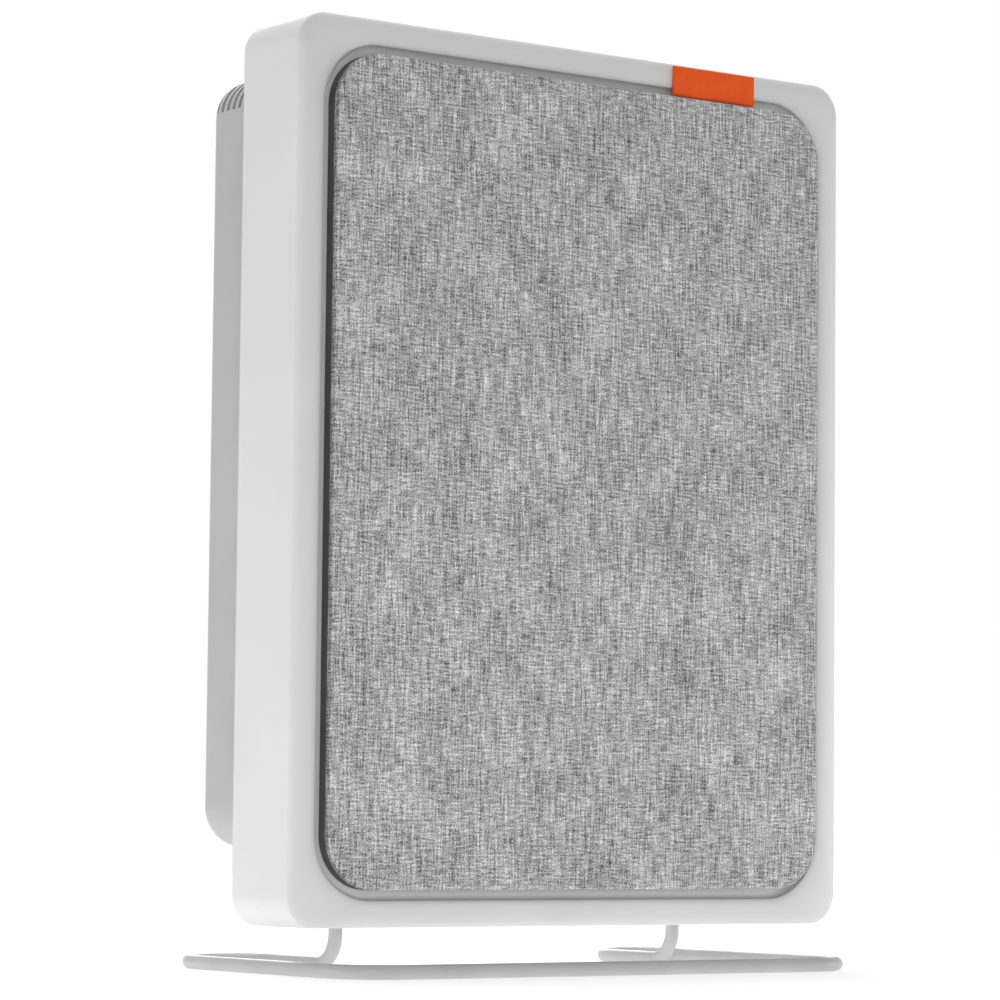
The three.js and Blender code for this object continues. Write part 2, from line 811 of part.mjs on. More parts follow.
// A profile of [radius, z] pairs turned about the button's upright axis.
function turnedUpright(profile, sides) {
  const points = profile.map(([radius, z]) => new THREE.Vector2(radius, z));
  const geometry = new THREE.LatheGeometry(points, sides);
  geometry.rotateX(QUARTER);
  geometry.translate(BUTTON.x, BUTTON.y, 0);
  return geometry;
}

// Push button: a shallow dished cap on a short stem.
function powerButton() {
  const { radius, topZ } = BUTTON;
  return turnedUpright(
    [
      [0, 433.2],
      [2, 433.2],
      [2, 434.6],
      [radius, 434.6],
      [radius, topZ - 0.6],
      [radius - 0.6, topZ],
      [0, topZ - 0.7],
    ],
    20,
  );
}

function buttonBezel() {
  return turnedUpright([[8.3, 436], [9.3, 436], [9.3, 440.2], [8.3, 440.2], [8.3, 436]], 20);
}

// Power board with its capacitors, coil and lead connector.
function powerBoard() {
  const board = block(-62, 62, 56, 94, 44, 45.6);
  const coil = block(-54, -34, 62, 84, 45, 57);
  const driver = block(8, 22, 66, 80, 45, 48.5);
  const plug = block(40, 56, 84, 92, 45, 54);
  const capacitors = [-22, -6].map((x) => rodZ(x, 72, 5.5, 45, 59, 10));
  return join([board, coil, driver, plug, ...capacitors]);
}

// Barrel inlet: a round socket with its centre pin, flanged behind the housing's back wall.
function powerInlet() {
  const { x, z } = INLET;
  const body = join([block(x - 7, x + 7, 86, 99.2, z - 7, z + 7), rodY(x, z, 6, 98, 102, 16)]);
  const pin = solidOf(rodY(x, z, 1.05, 90, 100.5, 8));
  return cut(body, [rodY(x, z, 3.2, 92, 104, 16)]).add(pin);
}

function particleSensor() {
  const body = block(133, 155.5, 60, 92, 70, 114);
  const duct = slab(roundedOutline(6, 12, 3, 0, 0), 0, 3);
  duct.rotateZ(-QUARTER);
  duct.translate(131.5, 76, 92);
  return join([body, duct]);
}

// ---- Screws and sockets -------------------------------------------------------------------------

// A pan-head screw driven forwards from depth y.
function screw(x, z, y, length, shank, head) {
  const profile = [
    [0, -length],
    [shank, -length],
    [shank, 0],
    [head, 0],
    [head, 1],
    [head * 0.6, 2.2],
    [0, 2.2],
  ];
  const points = profile.map(([radius, depth]) => new THREE.Vector2(radius, depth));
  const geometry = new THREE.LatheGeometry(points, 8);
  geometry.translate(x, y, z);
  return geometry;
}

// Sleeve inside the rear housing that grips one upright of the stand.
function standSocket(x) {
  const outer = 5.2;
  const sleeve = rodZ(x, UPRIGHT.y, outer, HOUSING.low + CASING.wall + GAP, UPRIGHT.topZ + 4, 16);
  const collar = rodZ(x, UPRIGHT.y, 4.8, HOUSING.low - 1.2, HOUSING.low + 5, 16);
  return cut(join([sleeve, collar]), [rodZ(x, UPRIGHT.y, WIRE.radius + GAP, 0, UPRIGHT.topZ + GAP, 16)]);
}

// ---- Wire stand ---------------------------------------------------------------------------------

// A path of straight and bent pieces that gives each piece its own number of steps.
class BentPath extends THREE.Curve {
  constructor(pieces) {
    super();
    this.pieces = pieces;
    this.total = pieces.reduce((sum, piece) => sum + piece.steps, 0);
  }

  getPoint(t) {
    let left = THREE.MathUtils.clamp(t, 0, 1) * this.total;
    for (const { curve, steps } of this.pieces) {
      if (left <= steps) {
        return curve.getPoint(left / steps);
      }
      left -= steps;
    }
    return this.pieces[this.pieces.length - 1].curve.getPoint(1);
  }

  getUtoTmapping(u) {
    return u;
  }
}

// A circular bend from one direction to another, started at a point.
class Bend extends THREE.Curve {
  constructor(start, heading, inward, radius, turn) {
    super();
    Object.assign(this, { start, heading, inward, radius, turn });
  }

  getPoint(t) {
    const angle = t * this.turn;
    const point = this.start.clone();
    point.addScaledVector(this.heading, this.radius * Math.sin(angle));
    return point.addScaledVector(this.inward, this.radius * (1 - Math.cos(angle)));
  }
}

// One rod: upright, hairpin, outer arm, front bar, and the same again on the other side.
function wireStand() {
  const wireZ = WIRE.radius - FLOOR_DROP;
  const hairpin = (WIRE.outerX - WIRE.innerX) / 2;
  const turn = WIRE.cornerRadius;
  const pieces = [];
  const down = new THREE.Vector3(0, 0, -1);
  const back = new THREE.Vector3(0, 1, 0);
  const front = new THREE.Vector3(0, -1, 0);
  const right = new THREE.Vector3(1, 0, 0);
  const left = new THREE.Vector3(-1, 0, 0);
  const up = new THREE.Vector3(0, 0, 1);
  let at = new THREE.Vector3(-WIRE.innerX, UPRIGHT.y, UPRIGHT.topZ);
  const run = (heading, length) => {
    const end = at.clone().addScaledVector(heading, length);
    pieces.push({ curve: new THREE.LineCurve3(at, end), steps: 1 });
    at = end;
  };
  const bend = (heading, inward, radius, angle, steps) => {
    const curve = new Bend(at, heading, inward, radius, angle);
    pieces.push({ curve, steps });
    at = curve.getPoint(1);
  };
  const armBack = WIRE.backY - hairpin - UPRIGHT.y - UPRIGHT.bend;
  const armFront = WIRE.backY - hairpin - WIRE.frontY - turn;
  run(down, UPRIGHT.topZ - wireZ - UPRIGHT.bend);
  bend(down, back, UPRIGHT.bend, QUARTER, 5);
  run(back, armBack);
  bend(back, left, hairpin, 2 * QUARTER, 10);
  run(front, armFront);
  bend(front, right, turn, QUARTER, 5);
  run(right, 2 * (WIRE.outerX - turn));
  bend(right, back, turn, QUARTER, 5);
  run(back, armFront);
  bend(back, left, hairpin, 2 * QUARTER, 10);
  run(front, armBack);
  bend(front, up, UPRIGHT.bend, QUARTER, 5);
  run(up, UPRIGHT.topZ - wireZ - UPRIGHT.bend);
  const path = new BentPath(pieces);
  const section = new THREE.Shape().absarc(0, 0, WIRE.radius, 0, 4 * QUARTER);
  const settings = { steps: path.total, extrudePath: path, curveSegments: 6, bevelEnabled: false };
  return new THREE.ExtrudeGeometry(section, settings);
}

// ---- Assembly -----------------------------------------------------------------------------------

function finish(color, roughness, metalness = 0) {
  return new THREE.MeshStandardMaterial({ color, roughness, metalness });
}

const whiteShell = () => finish(0xdedede, 0.5);
const greyShell = () => finish(0xb9b9b9, 0.55);
const darkPlastic = () => finish(0x3a3b3d, 0.6);
const trayPlastic = () => finish(0x737373, 0.6);
const steel = () => finish(0xb4b7ba, 0.35, 1);
const board = () => finish(0x1f5a3c, 0.6);
const chrome = () => finish(0xc9ccd0, 0.25, 1);

const purifier = new THREE.Group();
const body = new THREE.Group();
body.position.set(0, FRONT_SHIFT, FLOOR_DROP);
purifier.add(body);

function add(name, shape, material) {
  const geometry = shape.isBufferGeometry ? shape : geometryOf(shape);
  const mesh = new THREE.Mesh(geometry, material);
  mesh.name = name;
  body.add(mesh);
}

add("front_casing", frontCasing(), whiteShell());
add("chassis_plate", chassisPlate(), whiteShell());
add("rear_housing", rearHousing(), greyShell());
add("panel_fabric", panelFabric(), finish(0xa6a6a6, 0.95));
add("panel_frame", panelFrame(), trayPlastic());
add("pull_tab", pullTab(), finish(0xd0542b, 0.7));
add("prefilter_frame", prefilterFrame(), darkPlastic());
add("prefilter_net", prefilterNet(), finish(0x55585c, 0.9));
add("filter_frame", filterFrame(), finish(0xe8e8e4, 0.8));
add("filter_media", filterMedia(), finish(0xf4f4ee, 0.95));
add("filter_seal", filterSeal(), finish(0x2b2b2d, 0.95));
add("filter_ribbon", filterRibbon(), finish(0x8c8f92, 0.9));
add("bell_mouth", bellMouth(), darkPlastic());
add("inlet_guard", inletGuard(), darkPlastic());
add("scroll_housing", scrollHousing(), darkPlastic());
add("impeller", impeller(), finish(0x2f3133, 0.5));
add("rotor_cup", rotorCup(), steel());
add("motor_shaft", rodY(0, FAN.z, MOTOR.shaft, 60.5, 93, 12), chrome());
add("shaft_nut", shaftNut(), steel());
add("motor_stator", stator(), finish(0xa8622c, 0.5, 0.6));
add("motor_base", motorBase(), steel());
add("bearing_front", bearing(74.4), chrome());
add("bearing_rear", bearing(86), chrome());
add("control_board", controlBoard(), board());
add("tact_switch", tactSwitch(), darkPlastic());
add("light_pipe", lightPipe(), finish(0xf2f5f7, 0.15));
add("power_button", powerButton(), whiteShell());
add("button_bezel", buttonBezel(), chrome());
add("power_board", powerBoard(), board());
add("power_inlet", powerInlet(), darkPlastic());
add("particle_sensor", particleSensor(), darkPlastic());
add("wire_stand", wireStand(), finish(0xbcbdbe, 0.4, 0.3));
SOCKETS.forEach((x, i) => add(`stand_socket_${i + 1}`, standSocket(x), greyShell()));
MAGNETS.forEach(([x, z], i) => {
  const magnetY = PANEL.backY - MAGNET.sink - MAGNET.thick;
  const plateY = RIM.ledgeY + STRIKE.sink;
  add(`panel_magnet_${i + 1}`, rodY(x, z, MAGNET.radius, magnetY, magnetY + MAGNET.thick), chrome());
  add(`strike_plate_${i + 1}`, rodY(x, z, STRIKE.radius, plateY, plateY + STRIKE.thick), steel());
});
CASING_SCREWS.forEach(([x, z], i) => {
  add(`casing_screw_${i + 1}`, screw(x, z, CHASSIS.backY + GAP, 16, 1.2, 3.4), steel());
});
REAR_SCREWS.forEach(([x, z], i) => {
  add(`rear_screw_${i + 1}`, screw(x, z, HOUSING.backY - 3.1, 46, 1.6, 3.4), steel());
});

export default purifier;
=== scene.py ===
"""Looks of an air purifier with a linen front panel, on a bent wire stand.

Metres, +Z up, front facing -Y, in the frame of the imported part. Lengths written in the code are
millimetres and turn to metres where a mesh is made. The body frame used by the profiles below has
y = 0 on the rim's foremost line and z = 0 under the front casing.
"""

import math

import bpy
import numpy as np
from mathutils import Matrix, Vector


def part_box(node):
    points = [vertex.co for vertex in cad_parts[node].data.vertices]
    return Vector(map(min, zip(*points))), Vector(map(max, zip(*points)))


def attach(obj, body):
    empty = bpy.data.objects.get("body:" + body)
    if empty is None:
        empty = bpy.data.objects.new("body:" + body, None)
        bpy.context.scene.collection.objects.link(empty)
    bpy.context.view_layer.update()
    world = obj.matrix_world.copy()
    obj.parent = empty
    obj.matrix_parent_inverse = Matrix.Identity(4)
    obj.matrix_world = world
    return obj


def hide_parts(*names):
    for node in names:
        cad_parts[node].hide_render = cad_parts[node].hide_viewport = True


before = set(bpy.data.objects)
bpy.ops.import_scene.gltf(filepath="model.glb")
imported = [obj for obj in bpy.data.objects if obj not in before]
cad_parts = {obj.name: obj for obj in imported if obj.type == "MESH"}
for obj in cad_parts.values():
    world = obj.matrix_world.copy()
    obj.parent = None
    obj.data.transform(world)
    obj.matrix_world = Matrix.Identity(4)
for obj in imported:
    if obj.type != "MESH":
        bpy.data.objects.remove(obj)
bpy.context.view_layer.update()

MM = 0.001
FULL_TURN = 2 * math.pi
QUARTER = math.pi / 2
UP = (0.0, 0.0, 1.0)
BACKWARDS = (0.0, 1.0, 0.0)

# ---- Sizes that the CAD boxes give

ORIGIN = np.array([0.0, *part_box("front_casing")[0][1:]]) / MM


def corners(name):
    """Lowest and highest corner of a CAD node at rest, in the body frame."""
    return np.array(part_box(name)) / MM - ORIGIN


casing_high = corners("front_casing")[1]
housing_low, housing_high = corners("rear_housing")
panel_low, panel_high = corners("panel_frame")
cloth_low, cloth_high = corners("panel_fabric")
tab_low, tab_high = corners("pull_tab")
button_low, button_high = corners("power_button")
bezel_low, bezel_high = corners("button_bezel")
guard_low, guard_high = corners("inlet_guard")
mouth_low, mouth_high = corners("bell_mouth")

CASING_HALF = np.array([casing_high[0], casing_high[2] / 2])
CASING_DEPTH = casing_high[1]
MID_Z = CASING_HALF[1]
HOUSING_HALF = np.array([housing_high[0], (housing_high[2] - housing_low[2]) / 2])
HOUSING_MID = (housing_high[2] + housing_low[2]) / 2
HOUSING_FRONT, HOUSING_UNDER = housing_low[1:]
HOUSING_BACK = housing_high[1]
PANEL_HALF = np.array([panel_high[0], (panel_high[2] - panel_low[2]) / 2])
PANEL_FRONT = cloth_low[1]
PANEL_BACK = panel_high[1]
CLOTH_WRAP = cloth_high[1]

# ---- Sizes of the mouldings, in millimetres

# A turned profile that ends this near its axis is capped there.
AXIS_PIN = 0.02
# Extra points and rows beside a round, so that the flats next to it shade flat.
SUPPORT = 1.2
SUPPORT_ROW = 1.0
# How far a cutting tool stands past the face that it cuts.
PAST = 1.0
# Sides of turned and cut circles, from screw holes to the fan inlet.
SIDES_SMALL, SIDES_MIDDLE, SIDES_LARGE, SIDES_FAN = 24, 40, 48, 120

WALL = 2.5
PLAY = 0.3
CREASE = 35.0
CREASE_OF_ROUNDS = 50.0
CASING_CORNER = 15.5
CASING_CHAMFER = 0.5
RIM_WIDTH = 13.2
RIM_SIDE = 14.5
RIM_ROLL = (8.5, 4.0)
OPENING_CORNER = 31.0
LEDGE_Y = 5.0
LIP_ROLL = (4.4, 1.8)
LEDGE_COVE = 2.7
# The rim's inner skin, as inset and depth, behind the lip, mid rim and at the side wall.
INSIDE_LIP_Y = 3.0
INSIDE_RIM = (6.0, 3.4)
INSIDE_SIDE_Y = 6.4
BAY_HALF = np.array([136.0, 190.0])
BAY_CORNER = 10.0
BAY_ROUND = (0.6, 0.15)
BAY_BACK = 48.2
TOP_CUT_Z = (434, 444)
BUTTON_HOLE = 9.7
LENS_HOLE = 1.6
STRIKE_HOLE = 6.1
STRIKE_DEPTH = 1.3

PANEL_CORNER = 26.0
CLOTH_THICK = 1.0
CLOTH_ROLL = 1.6
CLOTH_STRAIGHT = 0.4
CLOTH_FLAT_INSETS = (2.4, 6.0, 12.0)
# Painted shade on the cloth's turned-down edge in the gap: where it starts and where it is full, in mm
# behind the front face, and its tone.
PAINTED_SHADE_SPAN = (0.6, 1.9)
PAINTED_SHADE_TONE = 0.09
LATTICE = (4, 5)
LATTICE_WEB = 9.0
LATTICE_MARGIN = 9.0
TRAY_PLATE = 3.0
TRAY_WALL = 2.2
TRAY_CHAMFER = 0.4
BOSS_RADIUS = 6.4
MAGNET_HOLE = (5.3, 3.3)
MAGNETS = [(-142.5, 370), (142.5, 370), (-142.5, 70), (142.5, 70)]

HOUSING_CORNER = 20.0
HOUSING_FILLET = 10.0
HOUSING_LEAST_CORNER = 4.0
SLOT_FIRST_Y = 57.6
SLOT_PITCH = 5.3
SLOT_COUNT = 8
SLOT_WIDE = 2.6
SLOT_LOW_Z = 402.5
SLOT_RIB = 4.0
SLOT_INNER = 52.0
SLOT_PAST = 5.0
SENSOR_SLOTS = 5
SENSOR_PITCH = 6.0
SENSOR_FIRST_Z = 78.0
SENSOR_TALL = 2.0
SENSOR_Y = (66.0, 84.0)
SENSOR_PAST = 4.0
REAR_SCREWS = [(-149, 392), (149, 392), (-149, 56), (149, 56)]
SCREW_TOWER = 5.0
TOWER_FRONT = 60.0
SCREW_BORE = 2.1
BORE_FRONT = 50.0
SCREW_WELL = (3.9, 3.4)
SCREW_SEAT = 3.1
STAND_HOLE = (5.1, 4.0)
INLET_HOLE = (6.3, 5.0)

STRAP_THICK = 1.3
STRAP_BEND = 1.2
STRAP_CORNER = 0.2
STRAP_END = 0.5

WIRE_RADIUS = 3.5
WIRE_FRONT_Y = -35.0
WIRE_BACK_Y = 132.0
WIRE_OUTER_X = 154.3
WIRE_INNER_X = 105.4
WIRE_CORNER = 29.0
UPRIGHT_Y = 57.5
UPRIGHT_TOP = 80.0
UPRIGHT_BEND = 15.0
WIRE_SIDES = 28

FAN_Z = 190.0
MOUTH_SKIN = 1.5
MOUTH_STEPS = 16
# Outer radius and width of each hoop.
GUARD_HOOPS = [(14.0, 5.0), (48.0, 2.0), (84.0, 5.0)]
GUARD_SPOKES = 6
GUARD_SPOKE = 2.4
SPOKE_INSET = 0.3
SPOKE_CORNER = 0.4
SPOKE_OVERLAP = 2.0

BUTTON_AT = (120.0, 30.0)
LENS_X = (82.0, 90.0, 98.0)
INLET_AT = (82.0, 56.0)

# ---- Camera, floor and lamps

# Place in millimetres, then yaw, pitch and roll in degrees.
CAMERA_AT = (-1190.2, -1630.4, 78.0)
CAMERA_TURN = (-35.789, 4.522, -0.585)
LENS = 142.99
SENSOR = 36.0

# In metres: the camera's furthest sight, half the floor's side and the reach of the floor's glow.
FAR_CLIP = 50.0
FLOOR_HALF = 12.0
GLOW_RADIUS = 2.4

WHITE = (1.0, 1.0, 1.0, 1.0)
SKY_LIGHT = 0.28
FLOOR_LIT_COLOUR = "#e4e4e4"
FLOOR_SEEN_COLOUR = "#f0f0f0"
FLOOR_LIGHT = 0.75
FLOOR_WHITE = 0.77
SHADOW_ROOM = 0.34

# Each lamp's place, target and size in metres, and its power in watts.
LAMPS = {
    "camera_side_softbox": ((-1.7, -2.6, 0.5), (0, 0, 0.22), (1.0, 1.0), 17),
    "left_back_strip": ((-2.0, 0.75, 0.2), (0, 0, 0.2), (1.0, 0.4), 8.5),
    "right_softbox": ((2.0, -0.75, 0.2), (0, 0, 0.2), (0.9, 0.4), 6.5),
    "back_softbox": ((1.3, 2.4, 1.3), (0, 0, 0.2), (1.2, 1.0), 22),
    "overhead_softbox": ((0.1, 0.4, 2.2), (0, 0, 0.2), (1.3, 1.3), 24),
}

# ---- Mesh making


def grid_quads(rows, columns, wrap_rows=False):
    """Corner numbers of the quads between neighbouring rows of closed rings of points."""
    row = np.arange(rows if wrap_rows else rows - 1)[:, None]
    column = np.arange(columns)[None, :]
    next_row, next_column = (row + 1) % rows, (column + 1) % columns
    quad = [
        row * columns + column,
        next_row * columns + column,
        next_row * columns + next_column,
        row * columns + next_column,
    ]
    return np.stack(np.broadcast_arrays(*quad), axis=-1).reshape(-1, 4)


def enclosed(points, faces):
    """Six times the volume inside closed faces: the sum of a . (b x c) over fans of each face."""
    total = 0.0
    for size in {len(face) for face in faces}:
        same = np.array([face for face in faces if len(face) == size])
        first = points[same[:, 0]]
        for i in range(1, size - 1):
            cross = np.cross(points[same[:, i]], points[same[:, i + 1]])
            total += float((first * cross).sum())
    return total


def add_object(name, data):
    """A new object in the scene."""
    made = bpy.data.objects.new(name, data)
    bpy.context.scene.collection.objects.link(made)
    return made


def make_mesh(name, points, faces, crease=CREASE, flat=None):
    """A mesh object from body-frame points in millimetres, its faces turned to point outwards.

    flat holds each point's place in the uncut cloth and becomes the UV map in metres.
    """
    faces = [tuple(face) for face in faces]
    if enclosed(points, faces) < 0:
        faces = [face[::-1] for face in faces]
    mesh = bpy.data.meshes.new(name)
    mesh.from_pydata(((points + ORIGIN) * MM).tolist(), [], faces)
    if flat is not None:
        corner_point = np.zeros(len(mesh.loops), dtype=np.int32)
        mesh.loops.foreach_get("vertex_index", corner_point)
        layer = mesh.uv_layers.new(name="cut")
        layer.data.foreach_set("uv", (flat[corner_point] * MM).astype(np.float32).ravel())
    piece = add_object(name, mesh)
    soften(piece, crease)
    return piece


def soften(piece, crease):
    """Shades smooth across every edge that turns less than the crease angle, in degrees."""
    mesh = piece.data
    mesh.polygons.foreach_set("use_smooth", np.ones(len(mesh.polygons), dtype=bool))
    mesh.set_sharp_from_angle(angle=math.radians(crease))
    mesh.update()


def loft(name, rings, looped=False, **settings):
    """A closed skin over rings of points: quads between neighbours, and flat caps on open ends."""
    rows, columns = rings.shape[:2]
    faces = grid_quads(rows, columns, wrap_rows=looped).tolist()
    if not looped:
        faces.append(list(range(columns)))
        faces.append(list(range(rows * columns - 1, (rows - 1) * columns - 1, -1)))
    return make_mesh(name, rings.reshape(-1, 3), faces, **settings)


def outline(half, corner, steps=18, support=SUPPORT):
    """Rounded rectangle about the origin as [x, z] rows, for arrays of half sizes and corner radii.

    Each corner is an arc c + r (cos a, sin a) over a quarter turn, with one more point a little
    way along both straight sides so that the flats shade flat.
    """
    half, corner = np.atleast_2d(half), np.atleast_1d(corner)
    angle = np.linspace(0, QUARTER, steps + 1)[None, :] + QUARTER * np.arange(4)[:, None]
    sign = np.array([[1, 1], [-1, 1], [-1, -1], [1, -1]])
    centre = sign[None] * (half - corner[:, None])[:, None, :]
    spoke = np.stack([np.cos(angle), np.sin(angle)], axis=-1)
    arc = centre[:, :, None, :] + corner[:, None, None, None] * spoke[None]
    along = np.stack([-np.sin(angle), np.cos(angle)], axis=-1)
    before = arc[:, :, :1] - support * along[None, :, :1]
    after = arc[:, :, -1:] + support * along[None, :, -1:]
    return np.concatenate([before, arc, after], axis=2).reshape(len(half), -1, 2)


def upright_rings(rows, mid_z=MID_Z, **settings):
    """Rounded rectangles standing in XZ, from rows of [half width, half height, corner, y]."""
    rows = np.array(rows, dtype=float)
    flat = outline(rows[:, :2], rows[:, 2], **settings)
    depth = np.broadcast_to(rows[:, 3][:, None], flat.shape[:2])
    return np.stack([flat[..., 0], depth, flat[..., 1] + mid_z], axis=-1)


def arc_steps(start, end, count):
    """Evenly spaced angles from start to end, both included."""
    return np.linspace(start, end, count + 1)


def quarter(count, reach, depth):
    """Steps along a quarter ellipse: pairs of reach (1 - cos a) and depth (1 - sin a)."""
    angle = arc_steps(0, QUARTER, count)
    return zip(reach * (1 - np.cos(angle)), depth * (1 - np.sin(angle)))


def rounded(centre, radius, start, end, count=5):
    """Points c + r (cos a, sin a) of an arc between two angles in degrees, as [radius, height] rows."""
    angle = np.radians(arc_steps(start, end, count))
    return [[centre[0] + radius * math.cos(a), centre[1] + radius * math.sin(a)] for a in angle]


def turned(name, profile, centre, axis, sides=64):
    """A profile of [radius, height] rows turned about an axis through a centre point.

    The point at angle a is centre + radius (side cos a + across sin a) + height axis. A profile
    that does not reach its axis closes on itself.
    """
    profile = np.array(profile, dtype=float)
    axis = np.array(axis, dtype=float)
    side = np.array([1.0, 0.0, 0.0])
    across = np.cross(axis, side)
    angle = np.arange(sides) * FULL_TURN / sides
    spoke = np.cos(angle)[:, None] * side + np.sin(angle)[:, None] * across
    rings = (
        profile[:, 0][:, None, None] * spoke[None]
        + profile[:, 1][:, None, None] * axis[None, None]
        + np.array(centre, dtype=float)
    )
    closed = profile[0, 0] > AXIS_PIN and profile[-1, 0] > AXIS_PIN
    return loft(name, rings, looped=closed)


def boxes(name, lows, highs):
    """One mesh of separate boxes, each between a low and a high corner."""
    lows, highs = np.array(lows, dtype=float), np.array(highs, dtype=float)
    pick = np.array([[i, j, k] for k in (0, 1) for j in (0, 1) for i in (0, 1)])
    points = lows[:, None] * (1 - pick)[None] + highs[:, None] * pick[None]
    box = np.array([[0, 2, 3, 1], [4, 5, 7, 6], [0, 1, 5, 4], [2, 6, 7, 3], [0, 4, 6, 2], [1, 3, 7, 5]])
    faces = (box[None] + 8 * np.arange(len(lows))[:, None, None]).reshape(-1, 4)
    return make_mesh(name, points.reshape(-1, 3), faces.tolist())


def rods(name, centres, radius, span, axis, sides=32):
    """Round rods of one radius along an axis ("Y" or "Z"), each capped at both ends."""
    angle = np.arange(sides) * FULL_TURN / sides
    circle = radius * np.stack([np.cos(angle), np.sin(angle)], axis=-1)
    made = []
    for centre in centres:
        ends = []
        for level in span:
            first, second = circle[:, 0] + centre[0], circle[:, 1] + centre[1]
            depth = np.full(sides, float(level))
            order = [first, depth, second] if axis == "Y" else [first, second, depth]
            ends.append(np.stack(order, axis=-1))
        made.append(loft(name, np.stack(ends)))
    return made


def carve(piece, tools, operation="DIFFERENCE"):
    """Cuts tools out of a piece, or joins them to it, with one exact boolean each."""
    for tool in tools:
        step = piece.modifiers.new("carve", "BOOLEAN")
        step.operation = operation
        step.solver = "EXACT"
        step.object = tool
    bpy.context.view_layer.update()
    solved = piece.evaluated_get(bpy.context.evaluated_depsgraph_get())
    mesh = bpy.data.meshes.new_from_object(solved)
    piece.modifiers.clear()
    piece.data = mesh
    for tool in tools:
        bpy.data.objects.remove(tool)
    soften(piece, CREASE)


def coat(piece, material):
    """Makes a finish the only one on a piece."""
    piece.data.materials.clear()
    piece.data.materials.append(material)


def place(piece, body, material, node_name):
    """Seats a piece on its CAD body in place of a CAD node, and gives both their finish."""
    coat(piece, material)
    coat(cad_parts[node_name], material)
    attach(piece, body)
    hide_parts(node_name)


# ---- Materials


def linear(code):
    """An sRGB hex colour such as "#dcdcdc" as linear RGBA."""
    shares = np.array([int(code[i : i + 2], 16) / 255 for i in (1, 3, 5)])
    low, high = shares / 12.92, ((shares + 0.055) / 1.055) ** 2.4
    return (*np.where(shares <= 0.04045, low, high).tolist(), 1.0)


def node(tree, kind, inputs=None, stops=(), **settings):
    """Adds one shader node, sets its properties and colour stops, and fills or links its inputs."""
    made = tree.nodes.new("ShaderNode" + kind)
    for key, value in settings.items():
        setattr(made, key, value)
    for number, (position, code) in enumerate(stops):
        if number >= len(made.color_ramp.elements):
            made.color_ramp.elements.new(position)
        made.color_ramp.elements[number].position = position
        made.color_ramp.elements[number].color = linear(code)
    for key, value in (inputs or {}).items():
        if isinstance(value, bpy.types.NodeSocket):
            tree.links.new(value, made.inputs[key])
        else:
            made.inputs[key].default_value = value
    return made


def empty_tree(data):
    """The node tree of a material or world, with nothing in it."""
    data.use_nodes = True
    data.node_tree.nodes.clear()
    return data.node_tree


def finish(name, pattern, stops, relief, **constants):
    """One Principled shader, coloured by a pattern's tone and embossed by its height.

    relief is how deep the height goes, in millimetres. The constants are set on its own sockets.
    """
    material = bpy.data.materials.new(name)
    tree = empty_tree(material)
    tone, height = pattern(tree)
    colour = node(tree, "ValToRGB", {"Fac": tone}, stops)
    bump = node(tree, "Bump", {"Height": height, "Strength": 0.4, "Distance": relief * MM})
    surface = {"Base Color": colour.outputs["Color"], "Normal": bump.outputs["Normal"]}
    shader = node(tree, "BsdfPrincipled", {**surface, **constants})
    node(tree, "OutputMaterial", {"Surface": shader.outputs["BSDF"]})
    return material


def stretched(tree, spacing):
    """The object's own coordinates, divided by a spacing in millimetres along each axis."""
    at = node(tree, "TexCoord").outputs["Object"]
    scale = tuple(1 / (length * MM) for length in spacing)
    return node(tree, "Mapping", {"Vector": at, "Scale": scale}).outputs["Vector"]


def fine_grain(grain, drift):
    """Fine bumps, grain mm apart, over a tone that drifts slowly, drift mm apart.

    The pores of a spark-eroded mould are really about 0.05 mm apart. They are drawn about ten
    times as far apart, because finer ones would not show.
    """

    def pattern(tree):
        far, near = stretched(tree, [drift] * 3), stretched(tree, [grain] * 3)
        slow = node(tree, "TexNoise", {"Vector": far, "Scale": 1.0, "Detail": 2.0})
        bumps = node(tree, "TexNoise", {"Vector": near, "Scale": 1.0, "Detail": 1.0})
        return slow.outputs["Fac"], bumps.outputs["Fac"]

    return pattern


def drawn_lines(spacing):
    """Lines or fibres along one or two axes: noise stretched by a spacing in mm along each axis."""

    def pattern(tree):
        lines = node(tree, "TexNoise", {"Vector": stretched(tree, spacing), "Scale": 1.0, "Detail": 3.0})
        return lines.outputs["Fac"], lines.outputs["Fac"]

    return pattern


def crossed_threads(pitch):
    """Threads both ways in the XZ plane, pitch mm apart, with a painted highlight on their crowns and
    painted shade between.

    Height is the larger of two sine waves, one along X and one along Z.
    """

    def pattern(tree):
        at = node(tree, "TexCoord").outputs["Object"]
        # A wave of scale s repeats every 2 pi / (20 s) of the coordinate.
        scale = FULL_TURN / (20 * pitch * MM)
        ways = []
        for direction in "XZ":
            wave = node(tree, "TexWave", {"Vector": at, "Scale": scale}, bands_direction=direction)
            ways.append(wave.outputs["Fac"])
        # Painted light: the crowns of the threads are lighter, the hollows between darker.
        crowns = node(tree, "Math", {0: ways[0], 1: ways[1]}, operation="MAXIMUM").outputs[0]
        return crowns, crowns

    return pattern


def cells(size, randomness=1.0, distance="EUCLIDEAN"):
    """Voronoi cells, size mm across, dark in the middle and paler towards their walls."""

    def pattern(tree):
        spread = {"Vector": stretched(tree, [size] * 3), "Scale": 1.0, "Randomness": randomness}
        cell = node(tree, "TexVoronoi", spread, distance=distance)
        return cell.outputs["Distance"], cell.outputs["Distance"]

    return pattern


